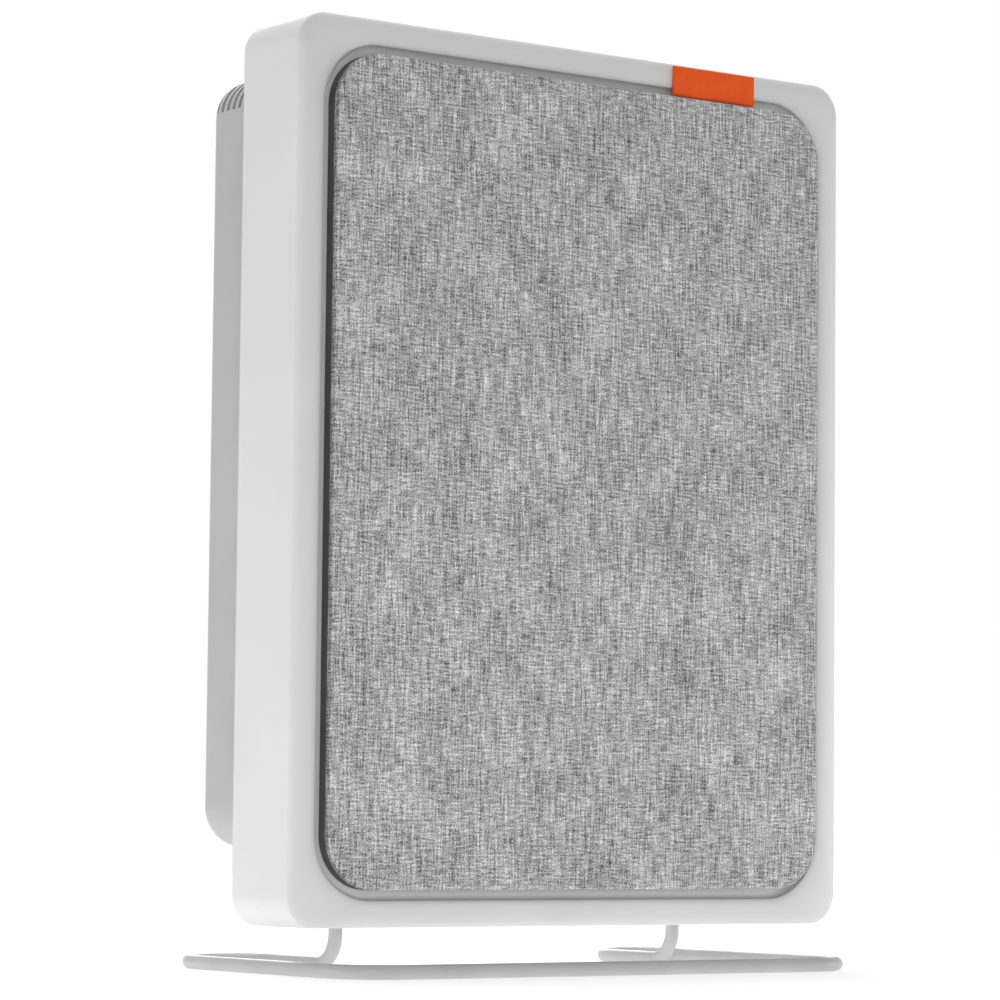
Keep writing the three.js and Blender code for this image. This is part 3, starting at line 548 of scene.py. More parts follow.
def heathered_weave(tree):
    """Plain linen weave: long light and dark slubs in the warp, shorter ones in the weft.

    Reads the uncut cloth's own UV map in metres, so that threads turn over the panel's edge. Tone
    is a weighted sum of warp, thicker warp slubs, weft, single crossings and a broad cloudiness.
    The threads are drawn 1.1 mm apart where real ones are about 0.6 mm, because finer ones blur to
    a flat grey. The turned-down edge, which lies in the gap, is darkened with painted shade, growing
    to 0.09 in tone from 0.6 to 1.9 mm back from the front face.
    """
    thread, warp_slub, weft_slub, crossing, cloud = 1.1, 14.0, 8.0, 0.9, 28.0
    thicker, taller = 2.5, 1.2
    cut = node(tree, "UVMap", uv_map="cut").outputs["UV"]
    # Each layer's lengths across and along the panel, where its noise starts, and its share.
    layers = [
        ((thread, warp_slub), (3.1, 8.4), 0.42),
        ((thread * thicker, warp_slub * thicker), (11.7, 4.9), 0.15),
        ((weft_slub, thread), (17.3, 2.6), 0.42),
        ((crossing, crossing), (5.2, 9.9), 0.56),
        ((cloud, cloud * taller), (1.4, 7.7), 0.15),
    ]
    total = None
    for (across, along), start, share in layers:
        scale = (1 / (across * MM), 1 / (along * MM), 1.0)
        spread = node(tree, "Mapping", {"Vector": cut, "Scale": scale, "Location": (*start, 0.0)})
        noise = {"Vector": spread.outputs["Vector"], "Scale": 1.0, "Detail": 1.0, "Roughness": 0.6}
        slub = node(tree, "TexNoise", noise, noise_dimensions="2D")
        about = node(tree, "Math", {0: slub.outputs["Fac"], 1: 0.5}, operation="SUBTRACT")
        before = 0.5 if total is None else total
        step = {0: about.outputs[0], 1: share, 2: before}
        total = node(tree, "Math", step, operation="MULTIPLY_ADD").outputs[0]
    at = node(tree, "TexCoord").outputs["Object"]
    depth = node(tree, "SeparateXYZ", {"Vector": at}).outputs["Y"]
    # Painted shade on the turned-down edge: darker the further it lies behind the front face.
    start, end = ((ORIGIN[1] + PANEL_FRONT + edge_shade) * MM for edge_shade in PAINTED_SHADE_SPAN)
    edge_shade = {"Value": depth, 1: start, 2: end, 3: 0.0, 4: PAINTED_SHADE_TONE}
    edge_shade_amount = node(tree, "MapRange", edge_shade).outputs[0]
    tone = node(tree, "Math", {0: total, 1: edge_shade_amount}, operation="SUBTRACT").outputs[0]
    return tone, total


# ABS, injection moulded in a lightly spark-eroded tool: an even satin white that hardly drifts.
WHITE_ABS = finish(
    "white_abs_moulded", fine_grain(0.5, 60), [(0.3, "#dbdbdb"), (0.7, "#dedede")], 0.05, Roughness=0.48
)

# The same ABS in a pale grey masterbatch: the fan housing and the stand's sleeves read a shade deeper.
GREY_ABS = finish(
    "grey_abs_moulded", fine_grain(0.5, 60), [(0.3, "#b1b1b1"), (0.7, "#b6b6b6")], 0.05, Roughness=0.5
)

# Dark grey ABS of the lattice tray: a plain matt edge that shows as a thin dark line beside the cloth.
# Its grey is partly the plastic's own and partly painted shade for the deep gap there.
TRAY_ABS = finish(
    "grey_tray_abs_moulded", fine_grain(0.6, 50), [(0.3, "#484848"), (0.7, "#4f4f4f")], 0.08, Roughness=0.6
)

# Black ABS with a coarser eroded grain: frames, ducts and sockets drink light and show soft highlights.
BLACK_ABS = finish(
    "black_abs_moulded", fine_grain(0.7, 40), [(0.3, "#303133"), (0.7, "#3a3b3d")], 0.1, Roughness=0.55
)

# Glass-filled nylon of the impeller: grey streaks of fibre lie along the flow of the melt, a
# millimetre wide where single fibres would not show.
GLASS_NYLON = finish(
    "glass_filled_nylon_moulded", drawn_lines([1.2, 9, 1.2]), [(0.35, "#292b2d"), (0.75, "#3d4043")], 0.06,
    Roughness=0.45,
)

# Silicone rubber strap, compression moulded: saturated orange, soft and nearly matt, faintly mottled.
STRAP_RUBBER = finish(
    "orange_silicone_moulded", fine_grain(0.4, 9), [(0.3, "#f05610"), (0.7, "#fa6014")], 0.04,
    Roughness=0.6, **{"Specular IOR Level": 0.3},
)

# Heathered linen, woven plain and stretched: a restless light and dark cross-hatch with no sheen.
LINEN = finish(
    "heathered_linen_woven", heathered_weave,
    [(0.26, "#4f4f4f"), (0.42, "#959595"), (0.56, "#bdbdbd"), (0.76, "#f4f4f4")], 0.25, Roughness=0.95,
)

# Polyester powder coat baked on drawn wire: a fine orange peel breaks up one soft highlight.
POWDER_COAT = finish(
    "grey_powder_coat_baked", fine_grain(0.9, 30), [(0.3, "#b2b2b2"), (0.7, "#bababa")], 0.06, Roughness=0.38
)

# Zinc-plated steel: bluish grey, with cloudy spangle about a millimetre across.
ZINC_PLATE = finish(
    "zinc_plated_steel", fine_grain(0.3, 1.2), [(0.35, "#9ea3a8"), (0.65, "#c0c4c8")], 0.02,
    Metallic=1.0, Roughness=0.34,
)

# Nickel plate over turned brass or sintered magnet: warm, clean and satin from its turning lines.
NICKEL_PLATE = finish(
    "satin_nickel_plated", drawn_lines([6, 6, 0.15]), [(0.3, "#bfbcb6"), (0.7, "#d2cfc9")], 0.01,
    Metallic=1.0, Roughness=0.26,
)

# Deep-drawn sheet steel of the motor's cup and flange: dull grey with drawing marks along the axis.
DRAWN_STEEL = finish(
    "deep_drawn_sheet_steel", drawn_lines([0.25, 8, 0.25]), [(0.3, "#9a9da0"), (0.7, "#b6b9bc")], 0.02,
    Metallic=1.0, Roughness=0.4,
)

# Enamelled copper wire wound on laminations: red-brown turns 0.5 mm apart along the motor's axis.
COPPER_WINDING = finish(
    "enamelled_copper_wound", drawn_lines([30, 0.5, 30]), [(0.35, "#7c3f1c"), (0.65, "#c07a45")], 0.15,
    Metallic=0.7, Roughness=0.35,
)

# Glass-epoxy circuit board under green solder mask: copper tracks show through as paler,
# right-angled paths.
SOLDER_MASK = finish(
    "green_solder_mask_printed", cells(2.5, 0.6, "CHEBYCHEV"), [(0.3, "#174a31"), (0.5, "#246843")], 0.03,
    Roughness=0.35,
)

# Clear polycarbonate light pipe, moulded: glassy, with the faint flow lines of thick mouldings.
CLEAR_PC = finish(
    "clear_polycarbonate_moulded", fine_grain(2, 20), [(0.3, "#eef2f4"), (0.7, "#f6f9fa")], 0.01,
    Roughness=0.08, IOR=1.585, **{"Transmission Weight": 0.9},
)

# Nylon monofilament net, woven 1.5 mm apart: pale crowns over dark open meshes, both painted: highlight on
# the crowns, shade in the meshes.
NYLON_NET = finish(
    "nylon_mesh_woven", crossed_threads(1.5), [(0.45, "#1d1e20"), (0.85, "#6a6d71")], 0.3, Roughness=0.6
)

# Melt-blown filter paper: off-white felt, its hair-fine fibres drawn as tufts 0.6 mm across.
FILTER_PAPER = finish(
    "melt_blown_filter_paper", drawn_lines([0.6, 0.6, 3]), [(0.3, "#e2e1da"), (0.7, "#f5f4ee")], 0.1,
    Roughness=0.95,
)

# White polypropylene cartridge frame, moulded: waxier and more translucent-looking than ABS.
CARTRIDGE_PP = finish(
    "white_polypropylene_moulded", fine_grain(0.8, 35), [(0.3, "#e2e2de"), (0.7, "#eaeae6")], 0.06,
    Roughness=0.42, **{"Subsurface Weight": 0.05, "Subsurface Scale": 0.002},
)

# Polyurethane foam strip, die cut: charcoal, with open cells about a millimetre across, their middles
# darkened as painted shade in the pores.
PU_FOAM = finish(
    "polyurethane_foam_cut", cells(1.0), [(0.1, "#141415"), (0.7, "#3a3a3c")], 0.5, Roughness=1.0
)

# Polyester ribbon, woven with ribs 0.8 mm apart: satin grey lifting loop, with a painted highlight on
# the ribs' crowns and painted shade between.
RIBBON = finish(
    "polyester_ribbon_woven", crossed_threads(0.8), [(0.3, "#7d8083"), (0.8, "#a2a5a8")], 0.12,
    Roughness=0.6,
)

# ---- Front casing


def casing_row(inset, y, corner):
    """A row for upright_rings, set in evenly from the casing's outline."""
    return [CASING_HALF[0] - inset, CASING_HALF[1] - inset, corner, y]


def rim_row(inset, y, corner=None):
    """A row on the rim, a little wider at the sides, with a corner that grows evenly inwards."""
    side = inset * RIM_SIDE / RIM_WIDTH
    if corner is None:
        corner = CASING_CORNER + (OPENING_CORNER - CASING_CORNER) * inset / RIM_WIDTH
    return [CASING_HALF[0] - side, CASING_HALF[1] - inset, corner, y]


def bay_row(outset, y):
    """A row set out from the filter bay's opening."""
    return [*(BAY_HALF + outset), BAY_CORNER + outset, y]


def front_casing():
    """Shell lofted through rounded rectangles, from its back edge round the front and back inside.

    The rim is a quarter ellipse, its lip a flatter one, and the recess wall meets the ledge in a
    cove R (1 - cos a, sin a). Then come the filter bay and the inner skin.
    """
    side_end = CASING_DEPTH - CASING_CHAMFER
    rows = [
        casing_row(CASING_CHAMFER, CASING_DEPTH, CASING_CORNER - CASING_CHAMFER),
        casing_row(0, side_end, CASING_CORNER),
        casing_row(0, side_end - SUPPORT_ROW, CASING_CORNER),
        casing_row(0, RIM_ROLL[1] + SUPPORT_ROW, CASING_CORNER),
    ]
    rows += [rim_row(inset, y) for inset, y in quarter(24, *RIM_ROLL)]
    rows += [rim_row(RIM_WIDTH - back, y) for y, back in quarter(14, LIP_ROLL[1], LIP_ROLL[0])]
    for step, rise in quarter(8, LEDGE_COVE, LEDGE_COVE):
        rows.append(rim_row(RIM_WIDTH + step, LEDGE_Y - rise, OPENING_CORNER - step))
    reach, middle = BAY_ROUND
    rows += [
        bay_row(reach, LEDGE_Y),
        bay_row(middle, LEDGE_Y + middle),
        bay_row(0, LEDGE_Y + reach),
        bay_row(0, BAY_BACK),
        bay_row(WALL, BAY_BACK),
        bay_row(WALL, LEDGE_Y + WALL),
        rim_row(RIM_WIDTH - WALL, LEDGE_Y + WALL, OPENING_CORNER + WALL),
        rim_row(RIM_WIDTH - WALL, INSIDE_LIP_Y, OPENING_CORNER + WALL),
        rim_row(*INSIDE_RIM),
        casing_row(WALL, INSIDE_SIDE_Y, CASING_CORNER - WALL),
        casing_row(WALL, CASING_DEPTH, CASING_CORNER - WALL),
    ]
    piece = loft("casing_shell", upright_rings(rows), looped=True)
    strike_cut = (LEDGE_Y - PAST, LEDGE_Y + STRIKE_DEPTH)
    lenses = [(x, BUTTON_AT[1]) for x in LENS_X]
    tools = rods("button_cut", [BUTTON_AT], BUTTON_HOLE, TOP_CUT_Z, "Z", sides=64)
    tools += rods("lens_cut", lenses, LENS_HOLE, TOP_CUT_Z, "Z", SIDES_SMALL)
    tools += rods("strike_cut", MAGNETS, STRIKE_HOLE, strike_cut, "Y", SIDES_MIDDLE)
    carve(piece, tools)
    place(piece, "body", WHITE_ABS, "front_casing")


def power_button():
    """Turned cap: a rounded rim, then a shallow dish whose depth falls as 1 - (r / R) squared."""
    low, high = button_low[2], button_high[2]
    radius = (button_high[0] - button_low[0]) / 2
    stem_radius, stem_tall, chamfer, edge, dish, lip = 2.0, 1.4, 0.4, 0.6, 0.6, 0.5
    under = low + stem_tall
    stem = [[AXIS_PIN, low], [stem_radius, low], [stem_radius, under]]
    stem += [[radius - chamfer, under], [radius, under + chamfer]]
    rim = rounded((radius - edge, high - edge), edge, 0, 90)
    across = np.linspace(radius - edge - lip, AXIS_PIN, 10)
    bowl = [[r, high - dish * (1 - (r / (radius - edge)) ** 2)] for r in across]
    piece = turned("power_cap", stem + rim + bowl, (*BUTTON_AT, 0.0), UP)
    place(piece, "button", WHITE_ABS, "power_button")


def button_ring():
    """Turned ring round the button with a half-round crown."""
    outer = (bezel_high[0] - bezel_low[0]) / 2
    half = 0.5
    crown = rounded((outer - half, bezel_high[2] - half), half, 180, 0, count=10)
    profile = [[outer, bezel_low[2]], [outer - 2 * half, bezel_low[2]]] + crown
    piece = turned("button_ring", profile, (*BUTTON_AT, 0.0), UP)
    place(piece, "body", NICKEL_PLATE, "button_bezel")


# ---- Rear housing


def housing_row(inset, y):
    """A row set in evenly from the housing's outline."""
    corner = max(HOUSING_CORNER - inset, HOUSING_LEAST_CORNER)
    return [HOUSING_HALF[0] - inset, HOUSING_HALF[1] - inset, corner, y]


def housing_fillet(inset, radius, back, steps):
    """Rows round the filleted back edge: inset + r (1 - cos a), back - r (1 - sin a)."""
    return [housing_row(inset + step, back - rise) for step, rise in quarter(steps, radius, radius)]


def slot_boxes():
    """Low and high corners of the outlet slots across the top and the sensor slots in the right side."""
    reach = HOUSING_HALF[0] + SLOT_PAST
    top = HOUSING_MID + HOUSING_HALF[1] + SLOT_PAST
    spans = [(-reach, -SLOT_INNER - SLOT_RIB), (-SLOT_INNER, SLOT_INNER), (SLOT_INNER + SLOT_RIB, reach)]
    middles = SLOT_FIRST_Y + SLOT_PITCH * np.arange(SLOT_COUNT)
    lows = [[x0, y - SLOT_WIDE / 2, SLOT_LOW_Z] for y in middles for x0, x1 in spans]
    highs = [[x1, y + SLOT_WIDE / 2, top] for y in middles for x0, x1 in spans]
    levels = SENSOR_FIRST_Z + SENSOR_PITCH * np.arange(SENSOR_SLOTS)
    lows += [[HOUSING_HALF[0] - SENSOR_PAST, SENSOR_Y[0], z] for z in levels]
    highs += [[HOUSING_HALF[0] + SENSOR_PAST, SENSOR_Y[1], z + SENSOR_TALL] for z in levels]
    return lows, highs


def rear_housing():
    """Shallow tub lofted through rounded rectangles, with screw towers joined on.

    Its outlet slots, sensor slots, screw wells, stand holes and inlet hole are cut through.
    """
    inside = housing_fillet(WALL, HOUSING_FILLET - WALL, HOUSING_BACK - WALL, steps=8)
    outside = housing_fillet(0, HOUSING_FILLET, HOUSING_BACK, steps=14)
    rows = inside[::-1]
    rows += [housing_row(WALL, HOUSING_FRONT), housing_row(0, HOUSING_FRONT)]
    rows += [housing_row(0, HOUSING_BACK - HOUSING_FILLET - SUPPORT_ROW)]
    rows += outside + [housing_row(HOUSING_FILLET + SUPPORT, HOUSING_BACK)]
    piece = loft("rear_shell", upright_rings(rows, HOUSING_MID))
    tower = (TOWER_FRONT + PLAY, HOUSING_BACK - PAST)
    carve(piece, rods("tower", REAR_SCREWS, SCREW_TOWER, tower, "Y"), "UNION")
    behind = HOUSING_BACK + PAST
    (well, well_deep), (stand, stand_deep), (inlet, inlet_deep) = SCREW_WELL, STAND_HOLE, INLET_HOLE
    stand_at = [(-WIRE_INNER_X, UPRIGHT_Y), (WIRE_INNER_X, UPRIGHT_Y)]
    stand_cut = (HOUSING_UNDER - 2 * PAST, HOUSING_UNDER + stand_deep)
    tools = [boxes("slot_cut", *slot_boxes())]
    tools += rods("bore_cut", REAR_SCREWS, SCREW_BORE, (BORE_FRONT, behind), "Y", SIDES_SMALL)
    tools += rods("well_cut", REAR_SCREWS, well, (HOUSING_BACK - well_deep, behind), "Y", SIDES_MIDDLE)
    tools += rods("stand_cut", stand_at, stand, stand_cut, "Z", SIDES_MIDDLE)
    tools += rods("inlet_cut", [INLET_AT], inlet, (HOUSING_BACK - inlet_deep, behind), "Y", SIDES_LARGE)
    carve(piece, tools)
    place(piece, "body", GREY_ABS, "rear_housing")


def rear_screw(number, x, z):
    """Pan-head screw turned about Y: shank, flat seat, quarter-round head, and a cross drive cut in."""
    seat = HOUSING_BACK - SCREW_SEAT
    length, point, tip, shank = 46.0, 2.0, 1.0, 1.6
    head, brim, crown, tall = 3.4, 0.5, 1.7, 2.2
    profile = [[AXIS_PIN, -length], [tip, -length], [shank, point - length], [shank, 0]]
    profile += [[head, 0], [head, brim]]
    profile += rounded((head - crown, brim), crown, 0, 90, count=8) + [[AXIS_PIN, tall]]
    name = f"rear_screw_cross_{number}"
    piece = turned(name, profile, (x, seat, z), BACKWARDS, SIDES_MIDDLE)
    arm, half, web = 1.7, 0.35, 0.8
    for wide, high in ((arm, half), (half, arm)):
        low = [[x - wide, seat + web, z - high]]
        carve(piece, [boxes("drive_cut", low, [[x + wide, seat + tall + PAST, z + high]])])
    place(piece, "body", ZINC_PLATE, f"rear_screw_{number}")


def barrel_inlet():
    """Round socket on a square body: a nose with a rounded lip, a bore, and a pin with a domed tip."""
    x, z = INLET_AT
    centre = (x, 0, z)
    half, corner, front, back = 7, 1, 86.0, 99.2
    body_rows = [[half, half, corner, y] for y in (front, back)]
    rings = upright_rings(body_rows, z, steps=4, support=0.4) + np.array([x, 0, 0])
    piece = loft("barrel_socket", rings)
    nose, nose_root, lip = 6.0, 98.0, 0.5
    profile = [[AXIS_PIN, nose_root], [nose, nose_root]]
    profile += rounded((nose - lip, HOUSING_BACK - lip), lip, 0, 90) + [[AXIS_PIN, HOUSING_BACK]]
    carve(piece, [turned("nose", profile, centre, BACKWARDS, SIDES_LARGE)], "UNION")
    bore, mouth, bottom, flare, flared, outside = 3.2, 3.7, 92.0, 101.4, 102.1, 104
    profile = [[AXIS_PIN, bottom], [bore, bottom], [bore, flare], [mouth, flared]]
    profile += [[mouth, outside], [AXIS_PIN, outside]]
    carve(piece, [turned("bore", profile, centre, BACKWARDS, SIDES_LARGE)])
    pin, pin_root, pin_tip, dome = 1.05, 90.0, 100.5, 0.5
    profile = [[AXIS_PIN, pin_root], [pin, pin_root]]
    profile += rounded((pin - dome, pin_tip - dome), dome, 0, 90) + [[AXIS_PIN, pin_tip]]
    carve(piece, [turned("pin", profile, centre, BACKWARDS, SIDES_SMALL)], "UNION")
    place(piece, "body", BLACK_ABS, "power_inlet")


def stand_sleeve(number, x):
    """Blind sleeve round one upright: turned, with a bevelled collar that shows under the housing."""
    bore, collar, outer, bevel = WIRE_RADIUS + PLAY, 4.8, 5.2, 0.3
    drop, cap, chamfer = 1.2, 4, 1.0
    under, seat, top = HOUSING_UNDER - drop, HOUSING_UNDER + WALL + PLAY, UPRIGHT_TOP + cap
    profile = [[AXIS_PIN, UPRIGHT_TOP + PLAY], [bore, UPRIGHT_TOP + PLAY], [bore, under + bevel]]
    profile += [[bore + bevel, under], [collar - bevel, under], [collar, under + bevel]]
    profile += [[collar, seat], [outer, seat], [outer, top - chamfer]]
    profile += [[outer - chamfer, top], [AXIS_PIN, top]]
    piece = turned(f"stand_sleeve_{number}", profile, (x, UPRIGHT_Y, 0.0), UP, SIDES_LARGE)
    place(piece, "body", GREY_ABS, f"stand_socket_{number}")


# ---- Front panel


def panel_row(inset, y):
    """A row set in evenly from the panel's outline."""
    return [PANEL_HALF[0] - inset, PANEL_HALF[1] - inset, PANEL_CORNER - inset, y]


def linen_cover():
    """Cloth drawn over the panel, from its turned-down edge over a quarter round to the flat front.

    Each point's place in the cut is its distance outwards from the flat core, along the cloth.
    """
    rows = [panel_row(0.0, CLOTH_WRAP), panel_row(0.0, PANEL_FRONT + CLOTH_ROLL + CLOTH_STRAIGHT)]
    rows += [panel_row(inset, PANEL_FRONT + rise) for inset, rise in quarter(7, CLOTH_ROLL, CLOTH_ROLL)]
    rows += [panel_row(inset, PANEL_FRONT) for inset in CLOTH_FLAT_INSETS]
    outer = upright_rings(rows)
    inner_front = PANEL_FRONT + CLOTH_THICK
    inner_rows = [panel_row(CLOTH_FLAT_INSETS[-1], inner_front), panel_row(CLOTH_THICK, inner_front)]
    inner = upright_rings(inner_rows + [panel_row(CLOTH_THICK, CLOTH_WRAP)])
    step = np.diff(np.array(rows)[:, [0, 3]], axis=0)
    run = np.concatenate([[0], np.cumsum(np.hypot(step[:, 0], step[:, 1]))])
    spread = run[-1] - run
    core = outer[-1][:, [0, 2]]
    direction = outer[0][:, [0, 2]] - core
    direction /= np.linalg.norm(direction, axis=1, keepdims=True)
    cut = core[None] + spread[:, None, None] * direction[None]
    flat = np.concatenate([inner[..., [0, 2]], cut]).reshape(-1, 2)
    piece = loft("linen_cover", np.concatenate([inner, outer]), flat=flat)
    place(piece, "panel", LINEN, "panel_fabric")


def lattice_boxes(front, back):
    """Low and high corners of the windows between the bars of the tray's lattice."""
    count = np.array(LATTICE)
    pitch = 2 * (PANEL_HALF - LATTICE_MARGIN) / count
    half = (pitch - LATTICE_WEB) / 2
    lows, highs = [], []
    for i in range(count[0]):
        for j in range(count[1]):
            x, z = (np.array([i, j]) - (count - 1) / 2) * pitch
            lows.append([x - half[0], front, MID_Z + z - half[1]])
            highs.append([x + half[0], back, MID_Z + z + half[1]])
    return lows, highs


def panel_tray():
    """Lattice tray behind the cloth: a lofted pan with a wide shoulder, pierced by windows."""
    edge = CLOTH_THICK + PLAY
    wall = edge + TRAY_WALL
    front = PANEL_FRONT + edge
    plate_back = front + TRAY_PLATE
    shoulder = CLOTH_WRAP + PLAY
    rim = PANEL_BACK - TRAY_CHAMFER
    rows = [
        panel_row(wall + SUPPORT, plate_back),
        panel_row(wall, plate_back),
        panel_row(wall, PANEL_BACK),
        panel_row(TRAY_CHAMFER, PANEL_BACK),
        panel_row(0.0, rim),
        panel_row(0.0, rim - SUPPORT_ROW),
        panel_row(0.0, shoulder),
        panel_row(edge, shoulder),
        panel_row(edge, front),
        panel_row(edge + SUPPORT, front),
    ]
    piece = loft("panel_tray", upright_rings(rows))
    bosses = rods("boss", MAGNETS, BOSS_RADIUS, (plate_back - PAST, PANEL_BACK), "Y", SIDES_MIDDLE)
    carve(piece, bosses, "UNION")
    hole, deep = MAGNET_HOLE
    magnet_cut = (PANEL_BACK - deep, PANEL_BACK + PAST)
    tools = [boxes("window_cut", *lattice_boxes(front - PAST, plate_back + PAST))]
    tools += rods("magnet_cut", MAGNETS, hole, magnet_cut, "Y", SIDES_MIDDLE)
    carve(piece, tools)
    place(piece, "panel", TRAY_ABS, "panel_frame")


def pull_strap():
    """Flat strap: a rectangle with tiny rounded corners carried along a path in the YZ plane.

    The path comes forwards out of the gap, turns up through a quarter circle c - r (sin a, cos a),
    and stands in front of the rim.
    """
    foot, front = tab_low[2] + STRAP_THICK / 2, tab_low[1] + STRAP_THICK / 2
    back, top = tab_high[1:]
    radius = STRAP_BEND + STRAP_THICK / 2
    turn = arc_steps(0, QUARTER, count=10)
    centre = np.array([front + radius, foot + radius])
    bend = centre - radius * np.stack([np.sin(turn), np.cos(turn)], axis=-1)
    start, end = [[back, foot], [back - STRAP_END, foot]], [[front, top - STRAP_END], [front, top]]
    path = np.concatenate([start, bend, end])
    heading = np.concatenate([np.zeros(2), turn, np.full(2, QUARTER)])
    away = np.stack([np.sin(heading), np.cos(heading)], axis=-1)
    half = np.array([[(tab_high[0] - tab_low[0]) / 2, STRAP_THICK / 2]])
    section = outline(half, np.array([STRAP_CORNER]), steps=3, support=0.3)[0]
    taper = np.ones(len(path))
    taper[[0, -1]] = 1 - STRAP_CORNER / half[0, 1]
    across = section[:, 0] + (tab_high[0] + tab_low[0]) / 2
    depth = (section[:, 1][None, :] * taper[:, None])[..., None] * away[:, None, :]
    yz = path[:, None, :] + depth
    x = np.broadcast_to(across, yz.shape[:2])
    rings = np.stack([x, yz[..., 0], yz[..., 1]], axis=-1)
    piece = loft("pull_strap", rings, crease=CREASE_OF_ROUNDS)
    place(piece, "panel", STRAP_RUBBER, "pull_tab")


# ---- Wire stand


def wire_stand():
    """A round section carried along straight runs and bends start + h r sin a + i r (1 - cos a).

    A ring starts from its plane's normal crossed with the heading, or from straight up where the
    wire lies flat, so that the rings never twist.
    """
    wire_z = WIRE_RADIUS - ORIGIN[2]
    hairpin = (WIRE_OUTER_X - WIRE_INNER_X) / 2
    x_axis, y_axis, z_axis = np.eye(3)
    at = np.array([-WIRE_INNER_X, UPRIGHT_Y, UPRIGHT_TOP])
    points, tangents, plane = [at], [-z_axis], [x_axis]

    def run(heading, length, normal):
        ends = points[-1] + heading * np.array([[SUPPORT_ROW], [length - SUPPORT_ROW], [length]])
        points.extend(ends)
        tangents.extend([heading] * 3)
        plane.extend([normal] * 3)

    def bend(heading, inward, radius, turn, steps, normal):
        angle = np.linspace(0, turn, steps + 1)[1:, None]
        start = points[-1]
        points.extend(start + heading * radius * np.sin(angle) + inward * radius * (1 - np.cos(angle)))
        tangents.extend(heading * np.cos(angle) + inward * np.sin(angle))
        plane.extend([normal] * steps)

    arm_back = WIRE_BACK_Y - hairpin - UPRIGHT_Y - UPRIGHT_BEND
    arm_front = WIRE_BACK_Y - hairpin - WIRE_FRONT_Y - WIRE_CORNER
    fall = UPRIGHT_TOP - wire_z - UPRIGHT_BEND
    tight, wide, half_turn = 16, 24, 40
    run(-z_axis, fall, x_axis)
    bend(-z_axis, y_axis, UPRIGHT_BEND, QUARTER, tight, x_axis)
    run(y_axis, arm_back, x_axis)
    bend(y_axis, -x_axis, hairpin, 2 * QUARTER, half_turn, None)
    run(-y_axis, arm_front, None)
    bend(-y_axis, x_axis, WIRE_CORNER, QUARTER, wide, None)
    run(x_axis, 2 * (WIRE_OUTER_X - WIRE_CORNER), None)
    bend(x_axis, y_axis, WIRE_CORNER, QUARTER, wide, None)
    run(y_axis, arm_front, None)
    bend(y_axis, -x_axis, hairpin, 2 * QUARTER, half_turn, None)
    run(-y_axis, arm_back, -x_axis)
    bend(-y_axis, z_axis, UPRIGHT_BEND, QUARTER, tight, -x_axis)
    run(z_axis, fall, -x_axis)
    path, along = np.array(points), np.array(tangents)
    # None marks the stretches that lie flat.
    pairs = zip(plane, along)
    up = np.array([z_axis if normal is None else np.cross(normal, t) for normal, t in pairs])
    side = np.cross(along, up)
    angle = np.arange(WIRE_SIDES) * FULL_TURN / WIRE_SIDES
    ring = np.cos(angle)[None, :, None] * up[:, None] + np.sin(angle)[None, :, None] * side[:, None]
    rings = path[:, None] + WIRE_RADIUS * ring
    piece = loft("bent_wire_stand", rings, crease=CREASE_OF_ROUNDS)
    place(piece, "body", POWDER_COAT, "wire_stand")


# ---- Fan inlet


def inlet_mouth():
    """Quarter torus R - r sin a, y - r cos a between its outer and inner skins, turned about Y."""
    reach = mouth_high[1] - mouth_low[1]
    throat = mouth_high[:2]
    outer = rounded(throat, reach, -90, -180, MOUTH_STEPS)
    inner = rounded(throat, reach - MOUTH_SKIN, -180, -90, MOUTH_STEPS)
    piece = turned("inlet_mouth", outer + inner, (0.0, 0.0, FAN_Z), BACKWARDS, SIDES_FAN)
    place(piece, "body", BLACK_ABS, "bell_mouth")


def finger_guard():
    """Rounded hoops about the fan's axis, joined by flat spokes at equal angles.

    A spoke is a rounded section swept along c + r (cos a, 0, sin a), its width square to that.
    """
    low, high, edge = guard_low[1], guard_high[1], 0.5
    centre = np.array([0.0, (low + high) / 2, FAN_Z])
    half = (high - low) / 2
    bars = []
    for radius, wide in GUARD_HOOPS:
        outside, inside, deep = radius - edge, radius - wide + edge, half - edge
        rounds = [(outside, deep), (inside, deep), (inside, -deep), (outside, -deep)]
        profile = []
        for number, middle in enumerate(rounds):
            profile += rounded(middle, edge, 90 * number, 90 * number + 90)
        bars.append(turned("guard_hoop", profile, centre, BACKWARDS, SIDES_FAN))
    spoke = [[GUARD_SPOKE / 2, half - SPOKE_INSET]]
    section = outline(spoke, [SPOKE_CORNER], steps=3, support=0.1)[0]
    hub, outer = GUARD_HOOPS[0][0], GUARD_HOOPS[-1][0]
    reach = np.linspace(hub - SPOKE_OVERLAP, outer - SPOKE_OVERLAP, 12)
    for angle in np.arange(GUARD_SPOKES) * FULL_TURN / GUARD_SPOKES:
        along = np.array([math.cos(angle), 0.0, math.sin(angle)])
        across = np.array([-math.sin(angle), 0.0, math.cos(angle)])
        width = section[:, :1] * across + section[:, 1:] * np.array(BACKWARDS)
        rings = centre + reach[:, None, None] * along + width[None]
        bars.append(loft("guard_spoke", rings))
    piece = bars[0]
    carve(piece, bars[1:], "UNION")
    piece.name = "finger_guard"
    place(piece, "body", BLACK_ABS, "inlet_guard")


# ---- Finishes of the CAD nodes that stay

